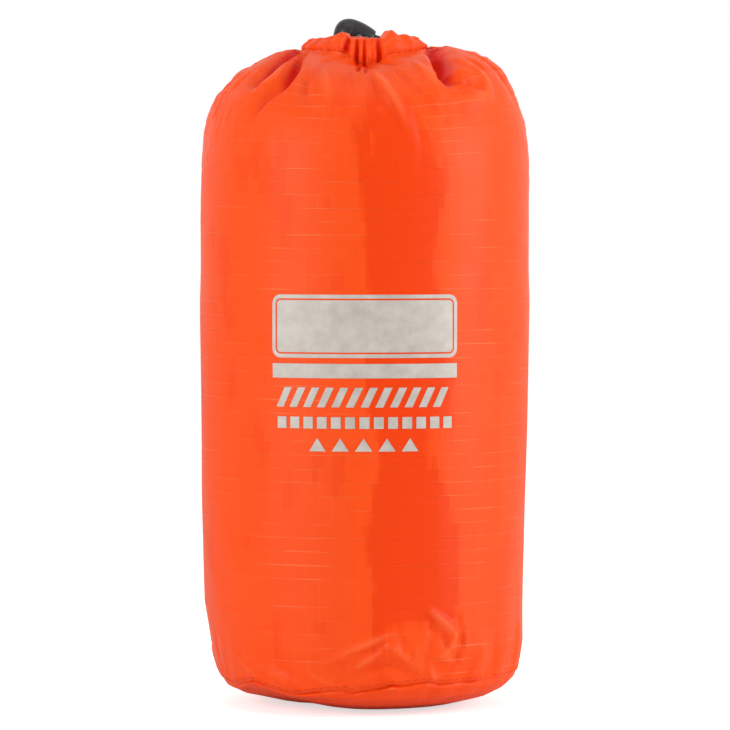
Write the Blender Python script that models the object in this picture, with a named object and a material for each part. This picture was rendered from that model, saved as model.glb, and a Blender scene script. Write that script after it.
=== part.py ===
"""Survival shelter rolled up in its drawstring stuff sack.

The sack stands on its round base, with +Z up and its printed front towards -Y. Its side
panel, its base panel, the drawcord and the cord lock are separate pieces, and so are the
cloths of the shelter that lies rolled inside. Sizes are in metres.
"""

import math

import bmesh
import bpy
from mathutils import Matrix, Vector

# Clearances and cloth
GAP = 0.0003                    # space left between two pieces that touch
CLOTH = 0.0008                  # sack cloth, drawn thicker than the real 0.15 mm
ANGLE_STEPS = 60                # facets round the base
PANEL_STEPS = 96                # facets round the side panel, whose folds are narrow
SHOULDER_ROWS = 13

# Sack outline
SACK_RADIUS = 0.062             # widest part, at the foot of the shoulder
WALL_FOOT_RADIUS = 0.0593       # wall where the rounded base begins
STANDING_RADIUS = 0.026         # flat disc that the sack stands on
BASE_ROUND_HEIGHT = 0.027       # height of the rounding at the foot
BASE_ROUND_POWER = 2.6          # squareness of that rounding
SEAM_HEIGHT = 0.0085            # seam between the side panel and the base panel
SEAM_ALLOWANCE = 0.008          # base cloth turned up inside the side panel
SHOULDER_FOOT_HEIGHT = 0.185    # where the wall starts to draw in
SHOULDER_POWER = 3.3            # squareness of the shoulder
THROAT_DIP = 0.0030             # the shoulder sinks this much towards the gathered mouth
THROAT_RADIUS = 0.036           # where it starts to sink

# Gathered mouth
CHANNEL_RADIUS = 0.0175         # drawcord's circle in the closed mouth
CHANNEL_FOOT_HEIGHT = 0.2430    # row of stitches below the channel
CROWN_HEIGHT = CHANNEL_FOOT_HEIGHT + 0.0035  # top of the shoulder, before it dips to the mouth
RIM_HEIGHT = CHANNEL_FOOT_HEIGHT + 0.0066    # folded edge at the top of the channel, on average
RIM_WAVE = 0.0008               # how far the folded edge rises and falls
RIM_RISE_AT_EXIT = 0.0021       # the folded edge is lifted where the cord comes out
PLEAT_OUT = 0.0038              # pleats stand out this far from the pinched channel
PLEAT_IN = 0.0028
PLEAT_RIDGE = 0.0009            # pleats run on over the shoulder at this height
EXIT_HALF_ANGLE = math.radians(34)   # stretch of channel left flat round the cord exit
EXIT_WIDTH = 0.0078
EXIT_HEIGHT = 0.0046

# Pinches of the gathered mouth between the pleats: azimuth, half width and share of PLEAT_OUT
PLEAT_PINCHES = ((-108, 4, 0.8), (-94, 5, 1.0), (-76, 4, 0.9), (-47, 5, 0.3), (-14, 5, 0.8), (-1, 4, 0.7),
                 (12, 4, 0.9), (25, 4, 0.5), (40, 5, 0.9), (54, 4, 0.5), (128, 4, 0.7), (143, 5, 0.9),
                 (157, 4, 0.5), (170, 5, 0.9), (-176, 4, 0.5), (-165, 4, 0.9), (-142, 5, 0.3))

# Folds over the shoulder, from the mouth outwards: azimuth in degrees and radius of each place
# that they run through, then their depth and half width
SHOULDER_FOLDS = (
    (((-3, 0.0230), (-20, 0.0300), (-41, 0.0380), (-51, 0.0465)), 0.0064, 0.0040),
    (((-51, 0.0450), (-44, 0.0505), (-36, 0.0550), (-27, 0.0575)), 0.0030, 0.0034),
    (((-1, 0.0240), (-6, 0.0380), (-12, 0.0520), (-15, 0.0580)), 0.0032, 0.0038),
    (((-172, 0.0230), (-160, 0.0320), (-148, 0.0400), (-141, 0.0470)), 0.0054, 0.0038),
    (((-165, 0.0260), (-145, 0.0350), (-134, 0.0420), (-133, 0.0510), (-136, 0.0580)), 0.0048, 0.0038),
    (((-178, 0.0240), (-174, 0.0380), (-168, 0.0500), (-163, 0.0570)), 0.0030, 0.0038),
    (((12, 0.0230), (14, 0.0340), (10, 0.0460), (7, 0.0570)), 0.0042, 0.0040),
    (((40, 0.0230), (42, 0.0340), (47, 0.0460), (49, 0.0570)), 0.0044, 0.0042),
    (((54, 0.0230), (60, 0.0330), (67, 0.0440)), 0.0024, 0.0036),
    (((128, 0.0230), (123, 0.0340), (118, 0.0470), (117, 0.0570)), 0.0038, 0.0040),
    (((143, 0.0230), (144, 0.0330), (149, 0.0440)), 0.0032, 0.0036),
    (((157, 0.0230), (160, 0.0350), (166, 0.0470), (168, 0.0570)), 0.0034, 0.0040),
    (((170, 0.0230), (176, 0.0340), (181, 0.0460)), 0.0030, 0.0036),
)
FOLD_AT_MOUTH = 0.5             # share of a fold's depth that it has at the mouth
FOLD_RUNS_OUT = 0.55            # share of its length after which it runs out
LOCK_HOLLOW = (86, 0.0018, 20)  # hollow in the cloth that the cord lock lies in

# Drawcord
CORD_DIAMETER = 0.0024
CORD_PLAY = 0.0005              # space round the cord in its channel and in the lock
CORD_SIDES = 2                  # bevel resolution
CORD_X = -0.001                 # middle of the two tails where they leave the channel
CORD_HEIGHT = CHANNEL_FOOT_HEIGHT + 0.0034   # in the channel
TAIL_HEIGHT = CORD_HEIGHT + 0.0038           # straight stretch of the tails, through the lock
LOOP_OPENING = 0.0150           # gap in the loop at the back, where both tails come out
LOOP_POINTS = 40
KNOT_HEIGHT = 0.0090
KNOT_RADIUS = 0.0044
KNOT_OFF_WALL = 0.0007          # the tied tails hang this far off the sack's wall

# Both tails on their way out of the channel, in cord diameters:
# beyond the loop's circle, to the tail's own side, below the straight stretch
TAIL_EXIT = ((0.62, 0.50, 1.21), (1.88, 0.0, 0.75), (3.12, 0.0, 0.25))

# Tails behind the lock, in cord diameters: sideways, beyond the sack's radius, below the straight
TAIL_HANGING = {
    "right": ((0.17, -2.60, 0.55), (0.45, -1.22, 2.05), (0.75, -0.27, 4.25), (0.98, 0.30, 7.15),
              (1.17, 0.55, 10.9), (1.25, 0.68, 16.3), (1.25, 0.83, 23.8), (1.00, 0.87, 35.9),
              (0.54, 0.87, 48.4), (0.42, 1.13, 56.3), (0.42, 1.54, 60.5)),
    "left": ((-1.20, -2.52, 0.25), (-1.68, -1.03, 1.85), (-2.13, -0.12, 4.10), (-2.47, 0.38, 7.00),
             (-2.67, 0.58, 10.8), (-2.75, 0.68, 16.3), (-2.67, 0.83, 23.8), (-2.08, 0.87, 35.9),
             (-1.33, 0.87, 48.4), (-0.92, 1.13, 56.3), (-0.92, 1.54, 60.5)),
}

# Cord lock
LOCK_TILT = math.radians(17)    # barrel axis falls this much towards +X
LOCK_REST_Y = CHANNEL_RADIUS + 0.0160   # lock close behind the channel, mouth drawn shut
LOCK_TRAVEL = 0.012             # straight stretch of the tails that the lock slides along
BUTTON_TRAVEL = 0.003
BARREL_RADIUS = 0.0062
BARREL_MOUTH_RADIUS = 0.0047
BARREL_WALL = 0.0012
BARREL_BACK = 0.0112            # closed end, measured from the cord hole
BARREL_FRONT = 0.0042           # open end, measured from the cord hole
BARREL_LIP = 0.0004             # chamfer round the open end
PLUNGER_RADIUS = 0.0030
PLUNGER_FOOT = 0.0016           # plunger below its slot
BUTTON_RADIUS = 0.0034
BUTTON_STANDS_OUT = 0.0042
BUTTON_DOME = 0.0012            # rounding of the button's edge
SPRING_WIRE = 0.0004
SPRING_TURNS = 4

# Rolled shelter
ROLL_PITCH = 0.009              # one turn of front cloth and back cloth together
CANOPY_THICKNESS = 0.0027       # folded layers of one cloth
SEWN_PIECE_THICKNESS = 0.0012   # windows, seats, sleeves and tapes between the turns
ROLL_CORE_RADIUS = 0.006
ROLL_TOP_HEIGHT = CHANNEL_FOOT_HEIGHT - 0.0055
ROLL_STEPS = 24                 # facets in one turn
SLEEVE_WALL = 0.0004

# Heights in the roll of the pieces that are sewn to the canopy
SEAT_FOOT_HEIGHT = 0.020
SEAT_TOP_HEIGHT = ROLL_TOP_HEIGHT - 0.0225
WINDOW_FOOT_HEIGHT = 0.070
WINDOW_TOP_HEIGHT = 0.180
TAPE_WIDTH = 0.025
LOW_TAPE_HEIGHT = 0.045
HIGH_TAPE_HEIGHT = 0.180
SLEEVE_FOOT_HEIGHT = 0.060
SLEEVE_TOP_HEIGHT = 0.150

CORD_SPACING = CORD_DIAMETER + GAP
SLOT_HALF_LENGTH = (CORD_SPACING + CORD_DIAMETER) / 2 + GAP
SLOT_HALF_HEIGHT = CORD_DIAMETER / 2 + GAP


def clear_scene():
    for thing in list(bpy.data.objects):
        bpy.data.objects.remove(thing, do_unlink=True)


def srgb(text):
    """Linear colour from an sRGB hex text."""
    channels = [int(text[i:i + 2], 16) / 255 for i in (0, 2, 4)]
    linear = [c / 12.92 if c <= 0.04045 else ((c + 0.055) / 1.055) ** 2.4 for c in channels]
    return (*linear, 1.0)


def material(name, colour, roughness, metallic=0.0):
    found = bpy.data.materials.get(name)
    if found:
        return found
    made = bpy.data.materials.new(name)
    made.use_nodes = True
    shader = made.node_tree.nodes["Principled BSDF"]
    shader.inputs["Base Color"].default_value = srgb(colour)
    shader.inputs["Roughness"].default_value = roughness
    shader.inputs["Metallic"].default_value = metallic
    return made


def sack_cloth():
    return material("orange coated ripstop", "fb5a30", 0.42)


def lock_plastic():
    return material("dark grey acetal", "3c3735", 0.55)


def drawcord_yarn():
    return material("black polyester cord", "1d1b1b", 0.8)


def add_object(name, data, finish, parent=None):
    made = bpy.data.objects.new(name, data)
    bpy.context.scene.collection.objects.link(made)
    data.materials.append(finish)
    made.parent = parent
    return made


def mesh_object(name, bm, finish, parent=None, sharp_angle=40):
    """Turns a bmesh into an object with outward faces and smooth shading."""
    bmesh.ops.recalc_face_normals(bm, faces=bm.faces)
    mesh = bpy.data.meshes.new(name)
    bm.to_mesh(mesh)
    bm.free()
    mesh.shade_smooth()
    mesh.set_sharp_from_angle(angle=math.radians(sharp_angle))
    return add_object(name, mesh, finish, parent)


def loop_solid(name, rings, finish, closed=True):
    """Closed solid from rings of points, each ring joined to the next.

    A closed one runs on from its last ring to its first, and an open one gets end caps.
    """
    bm = bmesh.new()
    made = [[bm.verts.new(point) for point in ring] for ring in rings]
    size = len(made[0])
    pairs = list(zip(made, made[1:]))
    if closed:
        pairs.append((made[-1], made[0]))
    for ring, following in pairs:
        for i in range(size):
            k = (i + 1) % size
            bm.faces.new((ring[i], ring[k], following[k], following[i]))
    if not closed:
        bm.faces.new(made[0])
        bm.faces.new(made[-1])
    return mesh_object(name, bm, finish)


def turned_solid(name, profile, steps, finish, parent=None):
    """Solid of revolution round Z from an open profile whose two ends lie on the axis."""
    bm = bmesh.new()
    verts = [bm.verts.new((radius, 0, height)) for radius, height in profile]
    edges = [bm.edges.new(pair) for pair in zip(verts, verts[1:])]
    bmesh.ops.spin(bm, geom=verts + edges, cent=(0, 0, 0), axis=(0, 0, 1),
                   angle=math.tau, steps=steps, use_merge=True)
    bmesh.ops.remove_doubles(bm, verts=bm.verts, dist=1e-6)
    return mesh_object(name, bm, finish, parent)


def cut(target, cutter):
    """Takes the cutter's shape out of the target with a Boolean modifier."""
    cutter.hide_render = True
    cutter.display_type = "WIRE"
    modifier = target.modifiers.new("cut by " + cutter.name, "BOOLEAN")
    modifier.operation = "DIFFERENCE"
    modifier.object = cutter


def box_cutter(name, size, location, parent=None):
    bm = bmesh.new()
    bmesh.ops.create_cube(bm, size=1, matrix=Matrix.Diagonal((*size, 1)))
    made = mesh_object(name, bm, lock_plastic(), parent)
    made.location = location
    return made


def slot_cutter(name, half_length, half_height, depth, location, parent):
    """Round-ended slot, long in X, cut through in Y."""
    corner_steps = 8
    bm = bmesh.new()
    straight = half_length - half_height
    outline = []
    for side in (1, -1):
        for i in range(corner_steps + 1):
            angle = math.radians(90 * -side) + math.pi * i / corner_steps
            x = side * straight + half_height * math.cos(angle)
            outline.append((x, -depth / 2, half_height * math.sin(angle)))
    face = bm.faces.new([bm.verts.new(point) for point in outline])
    grown = bmesh.ops.extrude_face_region(bm, geom=[face])
    moved = [v for v in grown["geom"] if isinstance(v, bmesh.types.BMVert)]
    bmesh.ops.translate(bm, verts=moved, vec=(0, depth, 0))
    made = mesh_object(name, bm, lock_plastic(), parent)
    made.location = location
    return made


def smooth_route(points, spacing):
    """Points at a steady spacing on a smooth curve through the route's own points."""
    ends = [points[0] * 2 - points[1], *points, points[-1] * 2 - points[-2]]
    fine = []
    for before, start, end, after in zip(ends, ends[1:], ends[2:], ends[3:]):
        for i in range(24):
            t = i / 24
            fine.append(0.5 * (2 * start + (end - before) * t
                               + (2 * before - 5 * start + 4 * end - after) * t * t
                               + (3 * start - before - 3 * end + after) * t ** 3))
    fine.append(points[-1])
    lengths = [0.0]
    for start, end in zip(fine, fine[1:]):
        lengths.append(lengths[-1] + (end - start).length)
    count = max(2, round(lengths[-1] / spacing))
    route = []
    k = 0
    for i in range(count + 1):
        wanted = lengths[-1] * i / count
        while k < len(fine) - 2 and lengths[k + 1] < wanted:
            k += 1
        share = (wanted - lengths[k]) / (lengths[k + 1] - lengths[k])
        route.append(fine[k].lerp(fine[k + 1], min(share, 1.0)))
    return route


def cord_object(name, points, diameter, finish, parent=None):
    curve = bpy.data.curves.new(name, "CURVE")
    curve.dimensions = "3D"
    curve.bevel_depth = diameter / 2
    curve.bevel_resolution = CORD_SIDES
    curve.use_fill_caps = True
    spline = curve.splines.new("POLY")
    spline.points.add(len(points) - 1)
    for place, point in zip(spline.points, points):
        place.co = (*point, 1)
    return add_object(name, curve, finish, parent)


def base_height_at(radius):
    """Height of the sack's outer foot over the floor at a radius."""
    share = (radius - STANDING_RADIUS) / (WALL_FOOT_RADIUS - STANDING_RADIUS)
    share = min(max(share, 0.0), 1.0)
    rise = (1 - share ** BASE_ROUND_POWER) ** (1 / BASE_ROUND_POWER)
    return BASE_ROUND_HEIGHT * (1 - rise)


def shoulder_height_at(radius):
    """Height of the sack's outer shoulder at a radius, leaving out its folds."""
    share = min(radius / SACK_RADIUS, 1.0)
    rise = (1 - share ** SHOULDER_POWER) ** (1 / SHOULDER_POWER)
    dip = min(max((THROAT_RADIUS - radius) / (THROAT_RADIUS - channel_reach()), 0.0), 1.0)
    height = SHOULDER_FOOT_HEIGHT + (CROWN_HEIGHT - SHOULDER_FOOT_HEIGHT) * rise
    return height - THROAT_DIP * dip * dip * (3 - 2 * dip)


def radius_at(height):
    """Outer radius of the sack at a height, leaving out its folds."""
    if height < BASE_ROUND_HEIGHT:
        share = (1 - (1 - height / BASE_ROUND_HEIGHT) ** BASE_ROUND_POWER) ** (1 / BASE_ROUND_POWER)
        return STANDING_RADIUS + (WALL_FOOT_RADIUS - STANDING_RADIUS) * share
    if height < SHOULDER_FOOT_HEIGHT:
        share = (height - BASE_ROUND_HEIGHT) / (SHOULDER_FOOT_HEIGHT - BASE_ROUND_HEIGHT)
        return WALL_FOOT_RADIUS + (SACK_RADIUS - WALL_FOOT_RADIUS) * math.sin(share * math.pi / 2)
    share = (height - SHOULDER_FOOT_HEIGHT) / (CROWN_HEIGHT - SHOULDER_FOOT_HEIGHT)
    return SACK_RADIUS * (1 - share ** SHOULDER_POWER) ** (1 / SHOULDER_POWER)


def turn_between(angle, middle):
    """Smallest turn from the middle azimuth to the angle, in radians."""
    return (angle - middle + math.pi) % math.tau - math.pi


def pleat_wave(angle):
    """0 where the channel is pinched hard on the cord, 1 on the crest of a pleat."""
    wave = 1.0
    for azimuth, half_width, share in PLEAT_PINCHES:
        off = turn_between(angle, math.radians(azimuth)) / math.radians(half_width)
        wave = min(wave, 1 - share * math.exp(-off * off))
    return wave


def seen_from_above(azimuth, radius):
    turn = math.radians(azimuth)
    return Vector((radius * math.cos(turn), radius * math.sin(turn)))


FOLD_LINES = [([seen_from_above(*place) for place in places], deepest, half_width)
              for places, deepest, half_width in SHOULDER_FOLDS]


def along_fold(here, line):
    """Distance from a fold as seen from above, and the share of its length where it's nearest."""
    nearest, share = SACK_RADIUS, 0.0
    for i, (start, end) in enumerate(zip(line, line[1:])):
        step = end - start
        part = min(max((here - start).dot(step) / step.length_squared, 0.0), 1.0)
        distance = (here - start - step * part).length
        if distance < nearest:
            nearest, share = distance, (i + part) / (len(line) - 1)
    return nearest, share


def fold_depth(angle, radius):
    """How deep the shoulder's folds are at a place on it."""
    reach = min(max((SACK_RADIUS - radius) / (SACK_RADIUS - channel_reach()), 0.0), 1.0)
    depth = PLEAT_RIDGE * (1 - pleat_wave(angle)) * reach ** 3
    here = Vector((radius * math.cos(angle), radius * math.sin(angle)))
    for line, deepest, half_width in FOLD_LINES:
        distance, share = along_fold(here, line)
        rise = FOLD_AT_MOUTH + (1 - FOLD_AT_MOUTH) * math.sin(min(2 * share, 1.0) * math.pi / 2)
        run_out = math.cos(max(share - FOLD_RUNS_OUT, 0.0) / (1 - FOLD_RUNS_OUT) * math.pi / 2)
        depth += deepest * rise * run_out * math.exp(-(distance / half_width) ** 2)
    azimuth, deepest, half_width = LOCK_HOLLOW
    off = turn_between(angle, math.radians(azimuth)) / math.radians(half_width)
    return depth + deepest * math.exp(-0.5 * off * off) * math.sin(min(1.0, reach * 1.6) * math.pi / 2) ** 1.5


def channel_half_width():
    return CORD_DIAMETER / 2 + CORD_PLAY


def channel_reach():
    """Radius of the pleats' crests round the mouth."""
    return CHANNEL_RADIUS + channel_half_width() + CLOTH + PLEAT_OUT + CLOTH


def rim_height_at(angle):
    off_exit = turn_between(angle, math.pi / 2) / EXIT_HALF_ANGLE
    lift = RIM_RISE_AT_EXIT * math.exp(-2 * off_exit * off_exit)
    return RIM_HEIGHT + lift + RIM_WAVE * math.sin(2 * angle + 1.2) * math.cos(3 * angle)


def shoulder_line():
    """Outline of the side panel from its seam up to the channel, as (radius, height)."""
    foot = [SEAM_HEIGHT + (BASE_ROUND_HEIGHT - SEAM_HEIGHT) * (i / 4) ** 1.4 for i in range(5)]
    wall = [BASE_ROUND_HEIGHT + (SHOULDER_FOOT_HEIGHT - BASE_ROUND_HEIGHT) * i / 3 for i in (1, 2, 3)]
    line = [(radius_at(height), height) for height in foot + wall]
    steps = SHOULDER_ROWS
    first = math.acos(0.995)
    last = math.acos((channel_reach() / SACK_RADIUS) ** (SHOULDER_POWER / 2))
    for i in range(steps + 1):
        turn = first + (last - first) * i / steps
        radius = SACK_RADIUS * math.cos(turn) ** (2 / SHOULDER_POWER)
        line.append((radius, shoulder_height_at(radius)))
    return line


def normal_at(height):
    """Outward direction of the sack's wall at a height, as (radius, height)."""
    step = 1e-5
    along = Vector((radius_at(height + step) - radius_at(height - step), 2 * step)).normalized()
    return Vector((along.y, -along.x))


def inside_place(height, depth):
    """Place that lies this deep inside the sack's outline, as (radius, height)."""
    return Vector((radius_at(height), height)) - normal_at(height) * depth


def panel_ring(angle, line):
    """Cross-section of the side panel at an azimuth, as one closed ring of points."""
    outer, inner = [], []
    for i, (radius, height) in enumerate(line):
        normal = normal_at(height)
        depth = 0.0
        if height > SHOULDER_FOOT_HEIGHT:
            along = (Vector(line[min(i + 1, len(line) - 1)]) - Vector(line[i - 1])).normalized()
            normal = Vector((along.y, -along.x))
            depth = fold_depth(angle, radius)
        place = Vector((radius, height)) - normal * depth
        outer.append(place)
        inner.append(place - normal * CLOTH)
    half = channel_half_width()
    wave = pleat_wave(angle)
    out = CHANNEL_RADIUS + half + CLOTH + PLEAT_OUT * wave
    back = CHANNEL_RADIUS - half - CLOTH - PLEAT_IN * wave
    rim = rim_height_at(angle)
    foot = CHANNEL_FOOT_HEIGHT
    middle = (foot + rim) / 2
    channel = [(out, foot), (out + CLOTH, middle), (out, rim - CLOTH), (out - CLOTH, rim),
               (back + CLOTH, rim), (back, rim - CLOTH), (back, middle), (back, foot + CLOTH),
               (out - CLOTH - GAP - CLOTH, foot - CLOTH), (out - CLOTH - GAP, foot - CLOTH / 2),
               (back + CLOTH + CLOTH, foot + 2 * CLOTH), (back + CLOTH, middle),
               (back + 2 * CLOTH, rim - CLOTH), (out - 2 * CLOTH, rim - CLOTH),
               (out, middle), (out - CLOTH, foot)]
    section = outer + [Vector(place) for place in channel] + inner[::-1]
    return [(r * math.cos(angle), r * math.sin(angle), z) for r, z in section]


def build_side_panel():
    """Tube of cloth whose top edge is folded over as the drawcord's channel."""
    line = shoulder_line()
    angles = [math.tau * i / PANEL_STEPS for i in range(PANEL_STEPS)]
    panel = loop_solid("sack_side_panel", [panel_ring(angle, line) for angle in angles], sack_cloth())
    exit_depth = PLEAT_OUT + 2 * CLOTH
    exit_y = CHANNEL_RADIUS + channel_half_width() + exit_depth
    cut(panel, box_cutter("cord_exit_cutter", (EXIT_WIDTH, 2 * exit_depth, EXIT_HEIGHT),
                          (CORD_X, exit_y, (CORD_HEIGHT + TAIL_HEIGHT) / 2)))


def build_base_panel():
    """Round base whose edge is turned up inside the side panel and sewn to it."""
    steps = 6
    outer = [(0.0, 0.0), (STANDING_RADIUS, 0.0)]
    edge_height = SEAM_HEIGHT - GAP
    for i in range(1, steps + 1):
        height = edge_height * (i / steps) ** 2
        outer.append((radius_at(height), height))
    lip = [SEAM_HEIGHT - GAP, SEAM_HEIGHT + SEAM_ALLOWANCE / 2, SEAM_HEIGHT + SEAM_ALLOWANCE]
    lip_outer = [inside_place(height, CLOTH + GAP) for height in lip]
    lip_inner = [inside_place(height, 2 * CLOTH + GAP) for height in lip]
    floor = [inside_place(height, CLOTH) for _, height in outer[2:-1]]
    profile = outer + lip_outer + lip_inner[::-1] + floor[::-1] + [(STANDING_RADIUS, CLOTH), (0.0, CLOTH)]
    turned_solid("sack_base_panel", profile, ANGLE_STEPS, sack_cloth())


def roll_floor_height(radius):
    """Lowest place for the roll at a radius, on the base panel's inside."""
    reach = 2 * CLOTH + 2 * GAP
    return base_height_at(radius + reach) + CLOTH + GAP


def roll_top_height(radius, angle):
    """Highest place for the roll at a place in it, under the shoulder and its folds."""
    reach = CLOTH + 2 * GAP
    facet = math.tau / ROLL_STEPS
    deepest = max(fold_depth(angle + facet * turn / 2, radius + reach * out)
                  for turn in range(-2, 3) for out in (-1, 1, 3))
    return min(ROLL_TOP_HEIGHT, shoulder_height_at(radius + reach + deepest) - 2 * CLOTH - GAP - deepest)


def roll_outer_radius():
    return radius_at(BASE_ROUND_HEIGHT) - CLOTH - 2 * GAP


def wound_rings(start, end, inner_offset, thickness, low=None, high=None):
    """Rectangular cross-sections of a cloth wound in a spiral, from one step to another."""
    rings = []
    for step in range(start, end + 1):
        angle = math.tau * step / ROLL_STEPS
        inner = ROLL_CORE_RADIUS + inner_offset + ROLL_PITCH * step / ROLL_STEPS
        outer = inner + thickness
        bottom = roll_floor_height(outer) if low is None else low
        top = roll_top_height(outer, angle) if high is None else high
        corners = ((inner, bottom), (outer, bottom), (outer, top), (inner, top))
        rings.append([(r * math.cos(angle), r * math.sin(angle), z) for r, z in corners])
    return rings


def steps_to(radius, offset):
    """Whole steps of the spiral that stay inside a radius."""
    return int((radius - ROLL_CORE_RADIUS - offset) / ROLL_PITCH * ROLL_STEPS)


def sewn_offset(gap_number):
    """Distance from the front cloth's inner face to a piece in one of the two gaps."""
    layer_gap = ROLL_PITCH / 2 - CANOPY_THICKNESS
    return gap_number * ROLL_PITCH / 2 - layer_gap / 2 - SEWN_PIECE_THICKNESS / 2


def build_canopy():
    """Front and back cloths of the shelter, rolled up together."""
    cloth = material("orange uncoated ripstop", "f4511e", 0.6)
    for name, offset in (("canopy_front_cloth", 0.0), ("canopy_back_cloth", ROLL_PITCH / 2)):
        last = steps_to(roll_outer_radius(), offset + CANOPY_THICKNESS)
        loop_solid(name, wound_rings(0, last, offset, CANOPY_THICKNESS), cloth, closed=False)


def build_sewn_pieces():
    """Seats, windows and reflective tapes, each lying between two turns of canopy cloth."""
    seat = material("grey coated seat cloth", "54565a", 0.55)
    window = material("clear soft PVC", "dfe6e8", 0.1)
    tape = material("silver reflective tape", "b9bcc0", 0.35, 0.3)
    pieces = (
        ("seat_panel_front", seat, 1, 30, 62, SEAT_FOOT_HEIGHT, SEAT_TOP_HEIGHT),
        ("seat_panel_back", seat, 2, 30, 62, SEAT_FOOT_HEIGHT, SEAT_TOP_HEIGHT),
        ("window_front", window, 1, 70, 83, WINDOW_FOOT_HEIGHT, WINDOW_TOP_HEIGHT),
        ("window_back", window, 2, 70, 83, WINDOW_FOOT_HEIGHT, WINDOW_TOP_HEIGHT),
        ("reflective_tape_front_left", tape, 1, 90, 97, LOW_TAPE_HEIGHT, LOW_TAPE_HEIGHT + TAPE_WIDTH),
        ("reflective_tape_front_right", tape, 1, 90, 97, HIGH_TAPE_HEIGHT, HIGH_TAPE_HEIGHT + TAPE_WIDTH),
        ("reflective_tape_back_left", tape, 2, 90, 97, LOW_TAPE_HEIGHT, LOW_TAPE_HEIGHT + TAPE_WIDTH),
        ("reflective_tape_back_right", tape, 2, 90, 97, HIGH_TAPE_HEIGHT, HIGH_TAPE_HEIGHT + TAPE_WIDTH),
    )
    for name, finish, gap_number, start, end, low, high in pieces:
        rings = wound_rings(start, end, sewn_offset(gap_number), SEWN_PIECE_THICKNESS, low, high)
        loop_solid(name, rings, finish, closed=False)


def flat_sleeve(name, gap_number, finish):
    """Vent sleeve pressed flat between two turns, open at both ends."""
    start, end = 104, 116
    low, high = SLEEVE_FOOT_HEIGHT, SLEEVE_TOP_HEIGHT
    offset = sewn_offset(gap_number)
    outside = wound_rings(start, end, offset, SEWN_PIECE_THICKNESS, low, high)
    hollow = SEWN_PIECE_THICKNESS - 2 * SLEEVE_WALL
    inside = wound_rings(start, end, offset + SLEEVE_WALL, hollow, low, high)
    first = Vector(inside[0][0]).lerp(Vector(inside[1][0]), 0.3) - Vector(inside[0][0])
    last = Vector(inside[-2][0]).lerp(Vector(inside[-1][0]), 0.7) - Vector(inside[-1][0])
    inside[0] = [Vector(point) + first for point in inside[0]]
    inside[-1] = [Vector(point) + last for point in inside[-1]]
    bm = bmesh.new()
    loops = {}
    for label, rings in (("outside", outside), ("inside", inside)):
        for end_name, near, far in (("low", 0, 1), ("high", 3, 2)):
            path = [ring[near] for ring in rings] + [ring[far] for ring in rings[::-1]]
            loops[label, end_name] = [bm.verts.new(point) for point in path]
    size = len(loops["outside", "low"])
    walls = ((("outside", "low"), ("outside", "high")), (("inside", "low"), ("inside", "high")),
             (("outside", "low"), ("inside", "low")), (("outside", "high"), ("inside", "high")))
    for one, other in walls:
        for i in range(size):
            k = (i + 1) % size
            bm.faces.new((loops[one][i], loops[one][k], loops[other][k], loops[other][i]))
    mesh_object(name, bm, finish)


def build_vent_sleeves():
    cloth = material("orange vent cloth", "f4511e", 0.6)
    flat_sleeve("vent_sleeve_left", 1, cloth)
    flat_sleeve("vent_sleeve_right", 2, cloth)


def tail_side_offset(side):
    """Offset of one tail from the middle of the pair, along the tilted barrel."""
    return Vector((math.cos(LOCK_TILT), 0, -math.sin(LOCK_TILT))) * side * CORD_SPACING / 2


def hanging_place(sideways, out, down):
    """Place behind the sack, from distances given in cord diameters."""
    return Vector((sideways * CORD_DIAMETER, SACK_RADIUS + out * CORD_DIAMETER,
                   TAIL_HEIGHT - down * CORD_DIAMETER))


def build_drawcord():
    """Loop in the channel, and two tails that run through the lock and down the back."""
    half_gap = math.asin(LOOP_OPENING / 2 / CHANNEL_RADIUS)
    loop = []
    for i in range(LOOP_POINTS + 1):
        angle = math.pi / 2 + half_gap + (math.tau - 2 * half_gap) * i / LOOP_POINTS
        loop.append(Vector((CHANNEL_RADIUS * math.cos(angle), CHANNEL_RADIUS * math.sin(angle), CORD_HEIGHT)))
    cord_object("drawcord_loop", loop, CORD_DIAMETER, drawcord_yarn())
    lock_end = LOCK_REST_Y + LOCK_TRAVEL
    straight = (LOCK_REST_Y - BARREL_RADIUS, LOCK_REST_Y + LOCK_TRAVEL / 2,
                lock_end + BARREL_RADIUS / 2, lock_end + BARREL_RADIUS + GAP)
    for label, side, end, before in (("right", 1, loop[-1], loop[-2]), ("left", -1, loop[0], loop[1])):
        onward = (end - before).normalized()
        line = Vector((CORD_X, 0, TAIL_HEIGHT)) + tail_side_offset(side)
        start = end + onward * GAP
        route = [start, start + onward * CORD_DIAMETER]
        for out, sideways, down in TAIL_EXIT:
            route.append(Vector((line.x + side * sideways * CORD_DIAMETER,
                                 CHANNEL_RADIUS + out * CORD_DIAMETER, line.z - down * CORD_DIAMETER)))
        route += [Vector((line.x, y, line.z)) for y in straight]
        route += [hanging_place(*place) for place in TAIL_HANGING[label]]
        points = smooth_route(route, 2 * CORD_DIAMETER)
        cord_object("drawcord_tail_" + label, points, CORD_DIAMETER, drawcord_yarn())


def build_knot():
    """Overhand knot that ties the two tails together, drawn as one lump."""
    ends = [hanging_place(*TAIL_HANGING[label][-1]) for label in ("right", "left")]
    middle = (ends[0] + ends[1]) / 2
    middle.z -= GAP + KNOT_HEIGHT / 2
    middle.y = radius_at(middle.z) + KNOT_OFF_WALL + KNOT_RADIUS
    profile = [(0.0, KNOT_HEIGHT / 2)]
    steps = 8
    widest_turn = math.radians(52)
    for i in range(steps + 1):
        turn = widest_turn - 2 * widest_turn * i / steps
        height = KNOT_HEIGHT / 2 * math.sin(turn) / math.sin(widest_turn)
        profile.append((KNOT_RADIUS * math.cos(turn), height))
    profile.append((0.0, -KNOT_HEIGHT / 2))
    turned = turned_solid("drawcord_knot", profile, 20, drawcord_yarn())
    turned.location = middle


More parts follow.
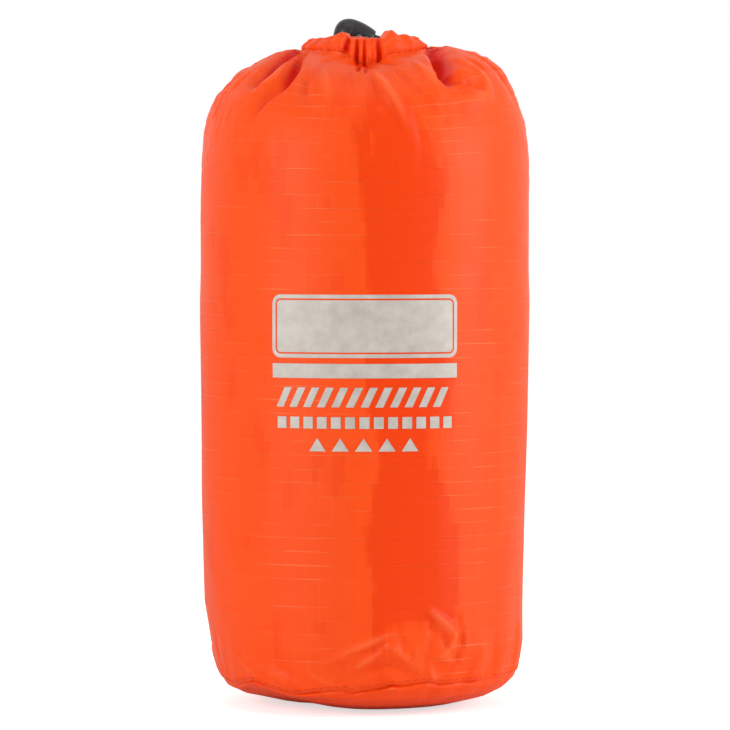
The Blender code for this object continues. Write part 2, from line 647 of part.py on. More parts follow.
def lock_frame():
    """Empty at the cord hole's middle: X along the barrel, Y along the tails."""
    frame = bpy.data.objects.new("lock_frame", None)
    bpy.context.scene.collection.objects.link(frame)
    frame.location = (CORD_X, LOCK_REST_Y, TAIL_HEIGHT)
    frame.rotation_euler = (0, LOCK_TILT, 0)
    return frame


def along_x(made):
    """Lays a piece turned round Z along the barrel, its top towards +X."""
    made.data.transform(Matrix.Rotation(math.pi / 2, 4, "Y"))
    return made


def build_cord_lock():
    frame = lock_frame()
    bore = PLUNGER_RADIUS + GAP
    floor = BARREL_BACK - BARREL_WALL
    egg_steps = 9
    outside = [(0.0, -BARREL_BACK)]
    widest = -BARREL_BACK * 0.45
    for i in range(1, egg_steps + 1):
        turn = math.pi / 2 * i / egg_steps
        outside.append((BARREL_RADIUS * math.sin(turn) ** 0.8,
                        widest - (BARREL_BACK + widest) * math.cos(turn)))
    for i in range(1, 5):
        share = i / 4
        outside.append((BARREL_RADIUS - (BARREL_RADIUS - BARREL_MOUTH_RADIUS) * share ** 2,
                        widest + (BARREL_FRONT - widest) * share))
    outside[-1] = (BARREL_MOUTH_RADIUS, BARREL_FRONT - BARREL_LIP)
    hollow = [(BARREL_MOUTH_RADIUS - BARREL_LIP, BARREL_FRONT), (bore, BARREL_FRONT), (bore, -floor),
              (0.0, -floor)]
    barrel = along_x(turned_solid("cord_lock_barrel", outside + hollow, 28, lock_plastic(), frame))
    cut(barrel, slot_cutter("barrel_slot_cutter", SLOT_HALF_LENGTH, SLOT_HALF_HEIGHT,
                            3 * BARREL_RADIUS, (0, 0, 0), frame))

    foot = -SLOT_HALF_LENGTH - PLUNGER_FOOT
    tip = BARREL_FRONT + BUTTON_STANDS_OUT
    neck = BARREL_FRONT + BUTTON_TRAVEL + GAP
    plunger_profile = [(0.0, foot), (PLUNGER_RADIUS, foot), (PLUNGER_RADIUS, neck), (BUTTON_RADIUS, neck)]
    for i in range(5):
        turn = math.pi / 2 * i / 4
        plunger_profile.append((BUTTON_RADIUS - BUTTON_DOME * (1 - math.cos(turn)),
                                tip - BUTTON_DOME + BUTTON_DOME * math.sin(turn)))
    plunger_profile.append((0.0, tip + BUTTON_DOME / 4))
    plunger = along_x(turned_solid("cord_lock_plunger", plunger_profile, 28, lock_plastic(), frame))
    cut(plunger, slot_cutter("plunger_slot_cutter", SLOT_HALF_LENGTH + BUTTON_TRAVEL / 2, SLOT_HALF_HEIGHT,
                             3 * BARREL_RADIUS, (BUTTON_TRAVEL / 2, 0, 0), frame))

    spring_radius = PLUNGER_RADIUS - 2 * SPRING_WIRE
    low = -floor + SPRING_WIRE / 2 + GAP
    high = foot - SPRING_WIRE / 2 - GAP
    per_turn = 12
    points = []
    for i in range(SPRING_TURNS * per_turn + 1):
        angle = math.tau * i / per_turn
        share = i / (SPRING_TURNS * per_turn)
        points.append((low + (high - low) * share, spring_radius * math.cos(angle),
                       spring_radius * math.sin(angle)))
    steel = material("spring steel", "9a9a9c", 0.3, 1.0)
    spring = cord_object("cord_lock_spring", points, SPRING_WIRE, steel, frame)
    spring.data.bevel_resolution = 1


def main():
    clear_scene()
    build_side_panel()
    build_base_panel()
    build_canopy()
    build_sewn_pieces()
    build_vent_sleeves()
    build_drawcord()
    build_knot()
    build_cord_lock()


main()
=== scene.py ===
"""Survival shelter packed in its drawstring stuff sack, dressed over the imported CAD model."""
import math

import bmesh
import bpy
import numpy as np
from mathutils import Matrix, Vector


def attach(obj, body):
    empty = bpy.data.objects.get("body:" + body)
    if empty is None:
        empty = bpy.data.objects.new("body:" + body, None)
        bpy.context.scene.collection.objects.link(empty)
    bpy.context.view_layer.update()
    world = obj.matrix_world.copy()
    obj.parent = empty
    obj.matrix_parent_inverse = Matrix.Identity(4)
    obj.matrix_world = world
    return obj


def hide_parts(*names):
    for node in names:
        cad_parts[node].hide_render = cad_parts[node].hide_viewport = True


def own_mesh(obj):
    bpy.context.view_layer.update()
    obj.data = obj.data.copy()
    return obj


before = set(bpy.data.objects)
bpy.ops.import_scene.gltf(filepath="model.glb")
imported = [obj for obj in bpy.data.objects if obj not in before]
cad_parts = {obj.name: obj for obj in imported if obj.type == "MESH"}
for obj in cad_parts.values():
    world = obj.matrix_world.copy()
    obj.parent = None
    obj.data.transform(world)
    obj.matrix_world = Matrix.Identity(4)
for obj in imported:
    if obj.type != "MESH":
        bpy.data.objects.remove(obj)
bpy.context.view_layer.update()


# Camera
# It stands 1.5 m in front of the sack, level with its upper part, and looks slightly down.
# The lens is long, so that 274 mm at the sack's middle fill the square picture.
SENSOR_WIDTH = 36.0              # mm
VIEW_DISTANCE = 1.501
VIEW_WIDTH = 0.27375
CAMERA_PLACE = (0.0, -1.5, 0.180)
CAMERA_AIM = (0.0, 0.0, 0.12665)


def place_object(name, data):
    """An object in the scene that holds a mesh, a lamp or a camera."""
    placed = bpy.data.objects.new(name, data)
    bpy.context.scene.collection.objects.link(placed)
    return placed


def face_towards(thing, aim):
    """Turns a camera or a lamp at its place towards a point."""
    thing.rotation_euler = (Vector(aim) - thing.location).to_track_quat("-Z", "Y").to_euler()


camera_data = bpy.data.cameras.new("front_camera")
camera_data.sensor_width = SENSOR_WIDTH
camera_data.lens = SENSOR_WIDTH * VIEW_DISTANCE / VIEW_WIDTH
camera = place_object("front_camera", camera_data)
camera.location = CAMERA_PLACE
face_towards(camera, CAMERA_AIM)
bpy.context.scene.camera = camera


# Drawcord
# A round braided polyester cord of 2.4 mm: a loop in the hem round the mouth, and two tails that
# come out at the back, run through the cord lock and hang down behind the sack to their knot.
CORD_DIAMETER = 0.0024
CORD_STRANDS = 6                 # strands that wind each way round the braid
STRAND_CROWN = 0.10              # share of the radius by which a strand's middle stands out
MELTED_END = 0.82                # share of the radius that is left where the cord is cut hot
CORD_SPACING = 0.0004            # from ring to ring along a drawn cord
MOUTH_CORD_RADIUS = 0.0175       # circle of the cord in the closed mouth
MOUTH_CORD_HEIGHT = 0.2464
LOOP_OPENING = 0.0150
LOOP_POINTS = 41


def linear(text):
    """Linear colour from an sRGB hex text."""
    channels = [int(text[i:i + 2], 16) / 255 for i in (0, 2, 4)]
    return tuple(c / 12.92 if c <= 0.04045 else ((c + 0.055) / 1.055) ** 2.4
                 for c in channels) + (1.0,)


def feed(node, inputs):
    """Sets a node's inputs, by name or by number.

    An input is linked where it is given an output, or a node, whose first output in use is meant.
    """
    for name, value in (inputs.items() if isinstance(inputs, dict) else enumerate(inputs)):
        if isinstance(value, bpy.types.Node):
            value = next(output for output in value.outputs if output.enabled)
        if isinstance(value, bpy.types.NodeSocket):
            node.id_data.links.new(value, node.inputs[name])
        else:
            node.inputs[name].default_value = value


def add_node(tree, kind, settings=None, inputs=()):
    """A node with its settings and its inputs."""
    node = tree.nodes.new(kind)
    for name, value in (settings or {}).items():
        setattr(node, name, value)
    feed(node, inputs)
    return node


def new_finish(name, colour, roughness, metallic=0.0):
    """A material with its tree and its shader, ready for a pattern."""
    finish = bpy.data.materials.new(name)
    finish.use_nodes = True
    finish.diffuse_color = linear(colour)
    shader = finish.node_tree.nodes["Principled BSDF"]
    feed(shader, {"Base Color": linear(colour), "Roughness": roughness, "Metallic": metallic})
    return finish, finish.node_tree, shader


def braided_polyester():
    """Black braided polyester: matt, with fine yarns that catch light along each strand."""
    finish, tree, shader = new_finish("braided_polyester_cord", "1b1a1c", 0.72)
    place = add_node(tree, "ShaderNodeTexCoord")
    # yarns inside each strand, 0.2 mm apart, run along the cord's own UV map in millimetres
    turned = add_node(tree, "ShaderNodeMapping", None, {
        "Vector": place.outputs["UV"], "Rotation": (0.0, 0.0, math.radians(38)),
        "Scale": (1000.0, 1000.0, 1.0)})
    yarn = add_node(tree, "ShaderNodeTexWave", {"bands_direction": "X"}, {
        "Vector": turned, "Scale": 1.6, "Distortion": 0.6, "Detail": 1.0}).outputs["Fac"]
    speck = add_node(tree, "ShaderNodeTexNoise", None, {
        "Vector": turned, "Scale": 2.4, "Detail": 3.0})
    tone = add_node(tree, "ShaderNodeMapRange", None, {
        "Value": yarn, "To Min": 0.25, "To Max": 0.75})
    lint = add_node(tree, "ShaderNodeMapRange", None, {
        "Value": speck, "From Min": 0.66, "From Max": 0.78, "To Min": 0.0, "To Max": 0.35})
    colour = linear("121113")
    for share, tint in ((tone, "2e2c2f"), (lint, "5a5558")):
        colour = add_node(tree, "ShaderNodeMix", {"data_type": "RGBA"}, {
            0: share, 6: colour, 7: linear(tint)})
    relief = add_node(tree, "ShaderNodeBump", None, {
        "Height": yarn, "Strength": 0.6, "Distance": 0.00008})
    feed(shader, {"Base Color": colour, "Normal": relief, "Sheen Weight": 0.25})
    return finish


def run_along(points):
    """Length along a line of points, from its start to each of them."""
    return np.concatenate([[0], np.cumsum(np.linalg.norm(np.diff(points, axis=0), axis=1))])


def smooth_path(points, spacing, fine_steps=24):
    """Points at a steady spacing on a smooth curve through a route's own points."""
    points = np.array(points, dtype=float)
    ends = np.vstack([2 * points[0] - points[1], points, 2 * points[-1] - points[-2]])
    t = np.linspace(0, 1, fine_steps, endpoint=False)[:, None]
    spans = []
    for before, start, end, after in zip(ends, ends[1:], ends[2:], ends[3:]):
        spans.append(0.5 * (2 * start + (end - before) * t
                            + (2 * before - 5 * start + 4 * end - after) * t ** 2
                            + (3 * start - before - 3 * end + after) * t ** 3))
    fine = np.vstack(spans + [points[-1:]])
    along = run_along(fine)
    wanted = np.linspace(0, along[-1], max(2, round(along[-1] / spacing)) + 1)
    return np.stack([np.interp(wanted, along, fine[:, k]) for k in range(3)], axis=1)


def round_points(turn, radius, height):
    """Points round the sack's upright axis, from turns in radians, radii and heights."""
    return np.stack(np.broadcast_arrays(radius * np.cos(turn), radius * np.sin(turn), height),
                    axis=-1)


def ring_quads(rows, columns):
    """Quads of a band made of rows of points, each row closed to a ring."""
    return [(j * columns + i, j * columns + (i + 1) % columns,
             (j + 1) * columns + (i + 1) % columns, (j + 1) * columns + i)
            for j in range(rows - 1) for i in range(columns)]


def ring_uv(across, up):
    """UVs of such a band; across has one place more than a row, where the ring closes."""
    left, right = (np.broadcast_to(places, up[1:].shape) for places in (across[:-1], across[1:]))
    following = np.roll(up, -1, axis=1)
    corners = (left, up[:-1]), (right, following[:-1]), (right, following[1:]), (left, up[1:])
    return np.stack([np.stack(pair, axis=-1) for pair in corners], axis=2).reshape(-1, 2)


def add_piece(name, vertices, faces, finish, uv=None):
    """A mesh object at the origin; uv holds one pair for each corner of each face."""
    mesh = bpy.data.meshes.new(name)
    mesh.from_pydata(np.asarray(vertices).tolist(), [], faces)
    if uv is not None:
        layer = mesh.uv_layers.new(name="UVMap")
        layer.data.foreach_set("uv", np.asarray(uv, dtype=np.float32).ravel())
    mesh.materials.append(finish)
    mesh.polygons.foreach_set("use_smooth", [True] * len(mesh.polygons))
    mesh.validate()
    return place_object(name, mesh)


def braided_tube(name, path, finish, diameter=CORD_DIAMETER, around=24):
    """A tube along a path, raised where a strand of the braid passes over, with closed ends."""
    count = len(path)
    along = np.gradient(path, axis=0)
    along /= np.linalg.norm(along, axis=1)[:, None]
    side = np.zeros_like(path)
    first = np.cross(along[0], (0.3, 0.2, 0.9))
    side[0] = first / np.linalg.norm(first)
    for i in range(1, count):
        moved = side[i - 1] - along[i] * np.dot(side[i - 1], along[i])
        side[i] = moved / np.linalg.norm(moved)
    up = np.cross(along, side)
    run = run_along(path)
    turn = np.arange(around) / around
    pitch = math.pi * diameter / CORD_STRANDS
    rising = CORD_STRANDS * turn[None, :] + run[:, None] / pitch
    falling = CORD_STRANDS * turn[None, :] - run[:, None] / pitch
    over = (np.floor(rising) + np.floor(falling)) % 2 == 0
    crown = np.where(over, np.sin(math.pi * (rising % 1)), np.sin(math.pi * (falling % 1)))
    radius = diameter / 2 * ((1 - STRAND_CROWN) + STRAND_CROWN * crown)
    radius[[0, -1]] *= MELTED_END
    angle = math.tau * turn[None, :, None]
    ring = side[:, None, :] * np.cos(angle) + up[:, None, :] * np.sin(angle)
    vertices = (path[:, None, :] + ring * radius[:, :, None]).reshape(-1, 3)
    vertices = np.vstack([vertices, path[:1], path[-1:]])
    faces = ring_quads(count, around)
    start, end, last = count * around, count * around + 1, (count - 1) * around
    for i in range(around):
        k = (i + 1) % around
        faces += [(start, k, i), (end, last + i, last + k)]
    across = np.arange(around + 1) / around * (math.pi * diameter)
    uv = ring_uv(across, np.broadcast_to(run[:, None], (count, around)))
    uv = np.vstack([uv, np.zeros((6 * around, 2))])
    return add_piece(name, vertices, faces, finish, uv)


cord_finish = braided_polyester()
half_gap = math.asin(LOOP_OPENING / 2 / MOUTH_CORD_RADIUS)
loop_span = math.tau - 2 * half_gap
loop_turn = math.pi / 2 + half_gap + loop_span * np.arange(LOOP_POINTS) / (LOOP_POINTS - 1)
loop_path = round_points(loop_turn, MOUTH_CORD_RADIUS, MOUTH_CORD_HEIGHT)
drawcord_loop = braided_tube("mouth_cord", smooth_path(loop_path, CORD_SPACING), cord_finish)
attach(drawcord_loop, "sack")
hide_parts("drawcord_loop")

# the model's own route points for both tails: out of the hem, through the lock, down to the knot
TAIL_ROUTES = {
    "right": ((0.00753, 0.01587, 0.24640), (0.00533, 0.01684, 0.24640), (0.00149, 0.01899, 0.24690),
              (0.00029, 0.02201, 0.24801), (0.00029, 0.02499, 0.24921), (0.00029, 0.02730, 0.24981),
              (0.00029, 0.03950, 0.24981), (0.00029, 0.04860, 0.24981), (0.00029, 0.05200, 0.24981),
              (0.00041, 0.05576, 0.24888), (0.00108, 0.05907, 0.24528), (0.00180, 0.06135, 0.24000),
              (0.00235, 0.06272, 0.23304), (0.00281, 0.06332, 0.22404), (0.00300, 0.06363, 0.21108),
              (0.00300, 0.06399, 0.19308), (0.00240, 0.06409, 0.16404), (0.00130, 0.06409, 0.13404),
              (0.00101, 0.06471, 0.11508), (0.00101, 0.06570, 0.10500)),
    "left": ((-0.00753, 0.01587, 0.24640), (-0.00533, 0.01684, 0.24640),
             (-0.00349, 0.01899, 0.24769),
             (-0.00229, 0.02201, 0.24880), (-0.00229, 0.02499, 0.25000),
             (-0.00229, 0.02730, 0.25060),
             (-0.00229, 0.03950, 0.25060), (-0.00229, 0.04860, 0.25060),
             (-0.00229, 0.05200, 0.25060),
             (-0.00288, 0.05595, 0.24960), (-0.00403, 0.05953, 0.24576),
             (-0.00511, 0.06171, 0.24036),
             (-0.00593, 0.06291, 0.23340), (-0.00641, 0.06339, 0.22428),
             (-0.00660, 0.06363, 0.21108),
             (-0.00641, 0.06399, 0.19308), (-0.00499, 0.06409, 0.16404),
             (-0.00319, 0.06409, 0.13404),
             (-0.00221, 0.06471, 0.11508), (-0.00221, 0.06570, 0.10500)),
}
tail_pieces, tail_paths = {}, {}
for side_name, route in TAIL_ROUTES.items():
    tail_paths[side_name] = smooth_path(route, CORD_SPACING)
    tail_pieces[side_name] = braided_tube("cord_tail_" + side_name, tail_paths[side_name],
                                          cord_finish)
    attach(tail_pieces[side_name], "sack")
    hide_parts("drawcord_tail_" + side_name)


# Knot
# Both tails are tied together in one overhand knot, so that the lock can't come off.
# Below it their cut ends stand out, each melted hard.
KNOT_MIDDLE = np.array([-0.00060, 0.06600, 0.10020])
KNOT_SCALE = (0.00098, 0.00095, 0.00112)     # across, outwards and down the cord
KNOT_CORD_DIAMETER = 0.0021      # the knot is pulled tight, which thins the cord
CORDS_APART = np.array([0.00085, 0.0006, 0.0])


def overhand_path():
    """The double cord's middle line through an overhand knot, from above to below."""
    t = np.linspace(math.pi + 0.30, 3 * math.pi - 0.30, 90)
    # a trefoil, whose own length runs down the cord and whose lobes lie across it
    across = (np.cos(t) - 2 * np.cos(2 * t) + 1.2) * KNOT_SCALE[0]
    out = -np.sin(3 * t) * KNOT_SCALE[1]
    down = -(np.sin(t) + 2 * np.sin(2 * t)) * KNOT_SCALE[2]
    return np.stack([across, out, down], axis=1)


def join_meshes(name, objects):
    """One object from several, each already in its place."""
    joined = bmesh.new()
    joined.loops.layers.uv.new("UVMap")
    for thing in objects:
        joined.from_mesh(thing.data)
    mesh = bpy.data.meshes.new(name)
    joined.to_mesh(mesh)
    joined.free()
    mesh.materials.append(objects[0].data.materials[0])
    piece = place_object(name, mesh)
    for thing in objects:
        bpy.data.objects.remove(thing, do_unlink=True)
    return piece


knot_line = overhand_path() + KNOT_MIDDLE
knot_strands = []
for knot_side, tail_side in ((1, "right"), (-1, "left")):
    entry = tail_paths[tail_side][-1]
    above = [entry, entry + np.array([0.0, 0.0, -0.0012])]
    leaving = KNOT_MIDDLE + np.array([0.0011 * knot_side - 0.0002, 0.0, -0.0062])
    below = [leaving, leaving + np.array([0.0009 * knot_side, 0.0004, -0.0045]),
             leaving + np.array([0.0016 * knot_side, 0.0002, -0.0085])]
    line = np.vstack([above, knot_line[4:-4:6] + CORDS_APART * knot_side, below])
    knot_strands.append(braided_tube("knot_strand", smooth_path(line, CORD_SPACING), cord_finish,
                                     KNOT_CORD_DIAMETER, 20))
cord_knot = join_meshes("cord_knot", knot_strands)
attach(cord_knot, "sack")
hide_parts("drawcord_knot")


# Cord lock
# An egg-shaped barrel with a sprung plunger in it, both moulded in dark grey acetal.
# The cord runs through a slot in both, and the spring holds the two slots out of line to grip it.
LOCK_TILT = Matrix.Rotation(math.radians(17), 4, "Y")
LOCK_PLACE = Matrix.Translation((-0.001, 0.0335, 0.2502)) @ LOCK_TILT
BARREL_RADIUS = 0.0062
BARREL_MOUTH_RADIUS = 0.0047
BARREL_BACK = 0.0112
BARREL_FRONT = 0.0042
BARREL_WIDEST = 0.45             # share of the way to its back
BARREL_WALL = 0.0012
MOULD_LINE = 0.00006             # height of the line where the mould's halves meet
BORE_PLAY = 0.0003               # between the plunger and its bore
PLUNGER_RADIUS = 0.0030
PLUNGER_FOOT_WALL = 0.0016
BUTTON_RADIUS = 0.0034
BUTTON_TRAVEL = 0.003
BUTTON_STANDS_OUT = 0.0042
BUTTON_ROUNDING = 0.0012
SLOT_HALF_LENGTH = 0.00285
SLOT_HALF_HEIGHT = 0.0015
SLOT_REACH = 0.02                # past the lock on both sides
SLOT_STEPS = 24                  # round each end of the slot
BARREL_EDGE = 0.00018            # rounding of the moulded edges
PLUNGER_EDGE = 0.00012


def moulded_acetal():
    """Dark grey acetal from a spark-eroded mould: matt, fine-grained, with specks of dust."""
    finish, tree, shader = new_finish("moulded_acetal", "1f1b1b", 0.4)
    place = add_node(tree, "ShaderNodeTexCoord").outputs["Object"]
    # spark-eroded grain of about 0.25 mm, drawn twice as coarse as real so that it shows
    grain = add_node(tree, "ShaderNodeTexNoise", None, {
        "Vector": place, "Scale": 2600.0, "Detail": 4.0, "Roughness": 0.6})
    dust = add_node(tree, "ShaderNodeTexVoronoi", {"feature": "F1"}, {
        "Vector": place, "Scale": 900.0, "Randomness": 1.0})
    fleck = add_node(tree, "ShaderNodeMapRange", None, {
        "Value": dust, "From Min": 0.05, "From Max": 0.13, "To Min": 0.45, "To Max": 0.0})
    cloud = add_node(tree, "ShaderNodeTexNoise", None, {
        "Vector": place, "Scale": 260.0, "Detail": 3.0})
    colour = linear("131111")
    for share, tint in ((cloud, "231f1f"), (fleck, "5a544f")):
        colour = add_node(tree, "ShaderNodeMix", {"data_type": "RGBA"}, {
            0: share, 6: colour, 7: linear(tint)})
    rough = add_node(tree, "ShaderNodeMapRange", None, {
        "Value": grain, "To Min": 0.30, "To Max": 0.48})
    relief = add_node(tree, "ShaderNodeBump", None, {
        "Height": grain, "Strength": 0.35, "Distance": 0.00006})
    feed(shader, {"Base Color": colour, "Roughness": rough, "Normal": relief,
                  "Specular IOR Level": 0.3})
    return finish


def reshape(piece, change):
    """Runs one change on a piece's mesh, opened as a bmesh."""
    shape = bmesh.new()
    shape.from_mesh(piece.data)
    change(shape)
    shape.to_mesh(piece.data)
    shape.free()
    return piece


def face_outwards(shape):
    """Turns a closed shape's faces outwards."""
    bmesh.ops.recalc_face_normals(shape, faces=shape.faces)


def turned_along_x(name, profile, segments, finish):
    """A closed shape of revolution round X; its (radius, x) pairs start and end on the axis."""
    inner = profile[1:-1]
    vertices = [(profile[0][1], 0, 0)]
    for radius, x in inner:
        vertices += [(x, radius * math.cos(math.tau * i / segments),
                      radius * math.sin(math.tau * i / segments)) for i in range(segments)]
    vertices.append((profile[-1][1], 0, 0))
    last = 1 + (len(inner) - 1) * segments
    faces = []
    for i in range(segments):
        k = (i + 1) % segments
        faces.append((0, 1 + k, 1 + i))
        for a in range(1, last, segments):
            faces.append((a + i, a + k, a + segments + k, a + segments + i))
        faces.append((last + i, last + k, len(vertices) - 1))
    return reshape(add_piece(name, vertices, faces, finish), face_outwards)


def slot_block(half_length, half_height, shift, reach=math.pi / 2):
    """A block through Y with round ends, as the cord's slot is.

    A reach past a quarter turn waists it between its ends.
    """
    outline = []
    for end in (1, -1):
        for i in range(SLOT_STEPS + 1):
            turn = -reach + 2 * reach * i / SLOT_STEPS
            across = half_length - half_height + half_height * math.cos(turn)
            outline.append((shift + end * across, end * half_height * math.sin(turn)))
    vertices = [(x, y, z) for y in (-SLOT_REACH, SLOT_REACH) for x, z in outline]
    size = len(outline)
    faces = [tuple(range(size)), tuple(range(2 * size - 1, size - 1, -1))]
    faces += [(i, i + size, (i + 1) % size + size, (i + 1) % size) for i in range(size)]
    return reshape(add_piece("slot_block", vertices, faces, lock_finish), face_outwards)


def take_modifiers(piece):
    """Bakes a piece's modifiers into its mesh."""
    depsgraph = bpy.context.evaluated_depsgraph_get()
    made = bpy.data.meshes.new_from_object(piece.evaluated_get(depsgraph))
    piece.modifiers.clear()
    piece.data = made


def cut_slot(piece, block, edge):
    """Cuts the cord's slot, rounds every sharp edge and puts the piece in its place."""
    cutter = piece.modifiers.new("slot", "BOOLEAN")
    cutter.operation = "DIFFERENCE"
    cutter.solver = "EXACT"
    cutter.object = block
    rounding = piece.modifiers.new("rounding", "BEVEL")
    rounding.width = edge
    rounding.segments = 3
    rounding.limit_method = "ANGLE"
    rounding.angle_limit = math.radians(38)
    take_modifiers(piece)
    bpy.data.objects.remove(block, do_unlink=True)
    piece.data.transform(LOCK_PLACE)
    piece.data.set_sharp_from_angle(angle=math.radians(40))


lock_finish = moulded_acetal()
barrel_floor = BARREL_BACK - BARREL_WALL
barrel_widest = -BARREL_BACK * BARREL_WIDEST
barrel_profile = [(0.0, -BARREL_BACK)]
for step in range(1, 17):
    turn = math.pi / 2 * step / 16
    barrel_profile.append((BARREL_RADIUS * math.sin(turn) ** 0.8,
                           barrel_widest - (BARREL_BACK + barrel_widest) * math.cos(turn)))
# the two halves of the mould meet at the widest ring and leave a faint raised line
barrel_profile += [(BARREL_RADIUS + MOULD_LINE, barrel_widest + 0.00008),
                   (BARREL_RADIUS, barrel_widest + 0.00016)]
for step in range(1, 9):
    share = step / 8
    barrel_profile.append((BARREL_RADIUS - (BARREL_RADIUS - BARREL_MOUTH_RADIUS) * share ** 2,
                           barrel_widest + (BARREL_FRONT - 0.0011 - barrel_widest) * share))
barrel_profile += [(BARREL_MOUTH_RADIUS - 0.0003, BARREL_FRONT - 0.0004),
                   (BARREL_MOUTH_RADIUS - 0.0006, BARREL_FRONT),
                   (PLUNGER_RADIUS + 0.0005, BARREL_FRONT),
                   (PLUNGER_RADIUS + BORE_PLAY, BARREL_FRONT - 0.0003),
                   (PLUNGER_RADIUS + BORE_PLAY, -barrel_floor), (0.0, -barrel_floor)]
lock_barrel = turned_along_x("lock_barrel", barrel_profile, 72, lock_finish)
# the barrel's slot follows the two cords that lie side by side in it, so it has a waist
slot_waist = math.acos((SLOT_HALF_LENGTH - SLOT_HALF_HEIGHT) / SLOT_HALF_HEIGHT)
barrel_slot = slot_block(SLOT_HALF_LENGTH, SLOT_HALF_HEIGHT, 0.0, math.pi - slot_waist)
cut_slot(lock_barrel, barrel_slot, BARREL_EDGE)
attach(lock_barrel, "cord_lock")
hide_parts("cord_lock_barrel")

plunger_foot = -SLOT_HALF_LENGTH - PLUNGER_FOOT_WALL
button_neck = BARREL_FRONT + BUTTON_TRAVEL + 0.0003
button_tip = BARREL_FRONT + BUTTON_STANDS_OUT
plunger_profile = [(0.0, plunger_foot), (PLUNGER_RADIUS - 0.0003, plunger_foot),
                   (PLUNGER_RADIUS, plunger_foot + 0.0003), (PLUNGER_RADIUS, button_neck),
                   (BUTTON_RADIUS - 0.0001, button_neck), (BUTTON_RADIUS, button_neck + 0.0001)]
for step in range(7):
    turn = math.pi / 2 * step / 6
    plunger_profile.append((BUTTON_RADIUS - BUTTON_ROUNDING * (1 - math.cos(turn)),
                            button_tip - BUTTON_ROUNDING + BUTTON_ROUNDING * math.sin(turn)))
# the thumb pad is dished, with two raised rings for grip
plunger_profile += [(0.0018, button_tip - 0.0001), (0.0015, button_tip + 0.0002),
                    (0.0012, button_tip - 0.0001), (0.0009, button_tip + 0.0002),
                    (0.0006, button_tip - 0.0001), (0.0, button_tip)]
lock_plunger = turned_along_x("lock_plunger", plunger_profile, 56, lock_finish)
# the plunger's slot is longer by the travel, so that the cord stays in it when it is pressed
plunger_slot = slot_block(SLOT_HALF_LENGTH + BUTTON_TRAVEL / 2, SLOT_HALF_HEIGHT,
                          BUTTON_TRAVEL / 2)
cut_slot(lock_plunger, plunger_slot, PLUNGER_EDGE)
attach(lock_plunger, "cord_lock_button")
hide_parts("cord_lock_plunger")


# Spring
# A compression spring of 0.4 mm drawn steel wire between the barrel's floor and the plunger's
# foot. It has the model's own coils, which close up towards the floor as the button is pressed.
def drawn_steel():
    """Drawn spring steel: bright metal, with fine marks that the die leaves on the wire."""
    finish, tree, shader = new_finish("drawn_spring_steel", "a2a2a6", 0.28, 1.0)
    place = add_node(tree, "ShaderNodeTexCoord")
    marks = add_node(tree, "ShaderNodeTexNoise", None, {
        "Vector": place.outputs["Object"], "Scale": 3200.0, "Detail": 3.0})
    rough = add_node(tree, "ShaderNodeMapRange", None, {
        "Value": marks, "To Min": 0.2, "To Max": 0.42})
    feed(shader, {"Roughness": rough})
    return finish


def weld(shape):
    """Merges the corners that loose triangles share."""
    bmesh.ops.remove_doubles(shape, verts=shape.verts, dist=1e-7)


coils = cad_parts["cord_lock_spring"].data
lock_spring = add_piece("lock_spring", [tuple(vertex.co) for vertex in coils.vertices],
                        [tuple(face.vertices) for face in coils.polygons], drawn_steel())
reshape(lock_spring, weld)
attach(lock_spring, "cord_lock")
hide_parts("cord_lock_spring")
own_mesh(lock_spring)


# Sack, side panel
# One piece of orange PU-coated ripstop nylon, sewn to a tube. Its top edge is folded over and
# stitched as the drawcord's hem, so the drawn cord gathers it to pleats round the mouth.
AROUND = 216                     # columns of cloth in the making, doubled at the end
SACK_RADIUS = 0.062
CLOTH_WIDTH = 2 * math.pi * SACK_RADIUS
SHOULDER_START = 0.165           # below this height the wall is plain
SHOULDER_ROWS = 45

# outline of the filled sack from the wall to the row of stitches, radius and height in mm
SHOULDER_OUTLINES = {
    "left": ((61.5, 165), (61.4, 185), (61.1, 200), (60.0, 212.5), (58.5, 220.6), (55.6, 226.6),
             (52.6, 230.2),
             (50.1, 233.0), (47.1, 235.6), (44.1, 238.0), (41.1, 239.8), (38.1, 241.3),
             (35.1, 242.7),
             (32.1, 244.2), (29.1, 245.4), (26.5, 246.0), (24.6, 245.8), (23.2, 245.2)),
    "right": ((61.3, 165), (61.4, 185), (61.4, 200), (60.8, 210), (59.6, 217.5), (57.5, 223.4),
              (54.9, 230.2),
              (51.9, 235.0), (48.9, 238.3), (45.9, 240.7), (42.0, 242.9), (39.9, 243.8),
              (36.0, 245.2),
              (32.5, 246.0), (29.0, 246.2), (26.5, 246.0), (24.6, 245.6), (23.2, 245.0)),
    "front": ((61.3, 165), (61.5, 185), (60.8, 199), (59.2, 209.5), (56.5, 218.0), (52.8, 225.3),
              (48.4, 230.7),
              (43.4, 234.2), (38.6, 236.6), (34.4, 238.2), (31.0, 239.4), (28.2, 240.3),
              (26.0, 241.1), (24.2, 242.0)),
    "back": ((61.3, 165), (61.6, 185), (61.2, 200), (59.8, 212), (57.0, 221.5), (53.5, 228.2),
             (49.0, 233.6),
             (44.0, 237.6), (39.0, 240.4), (34.0, 242.1), (30.0, 242.9), (26.5, 243.2),
             (24.8, 243.1), (23.2, 243.0)),
}
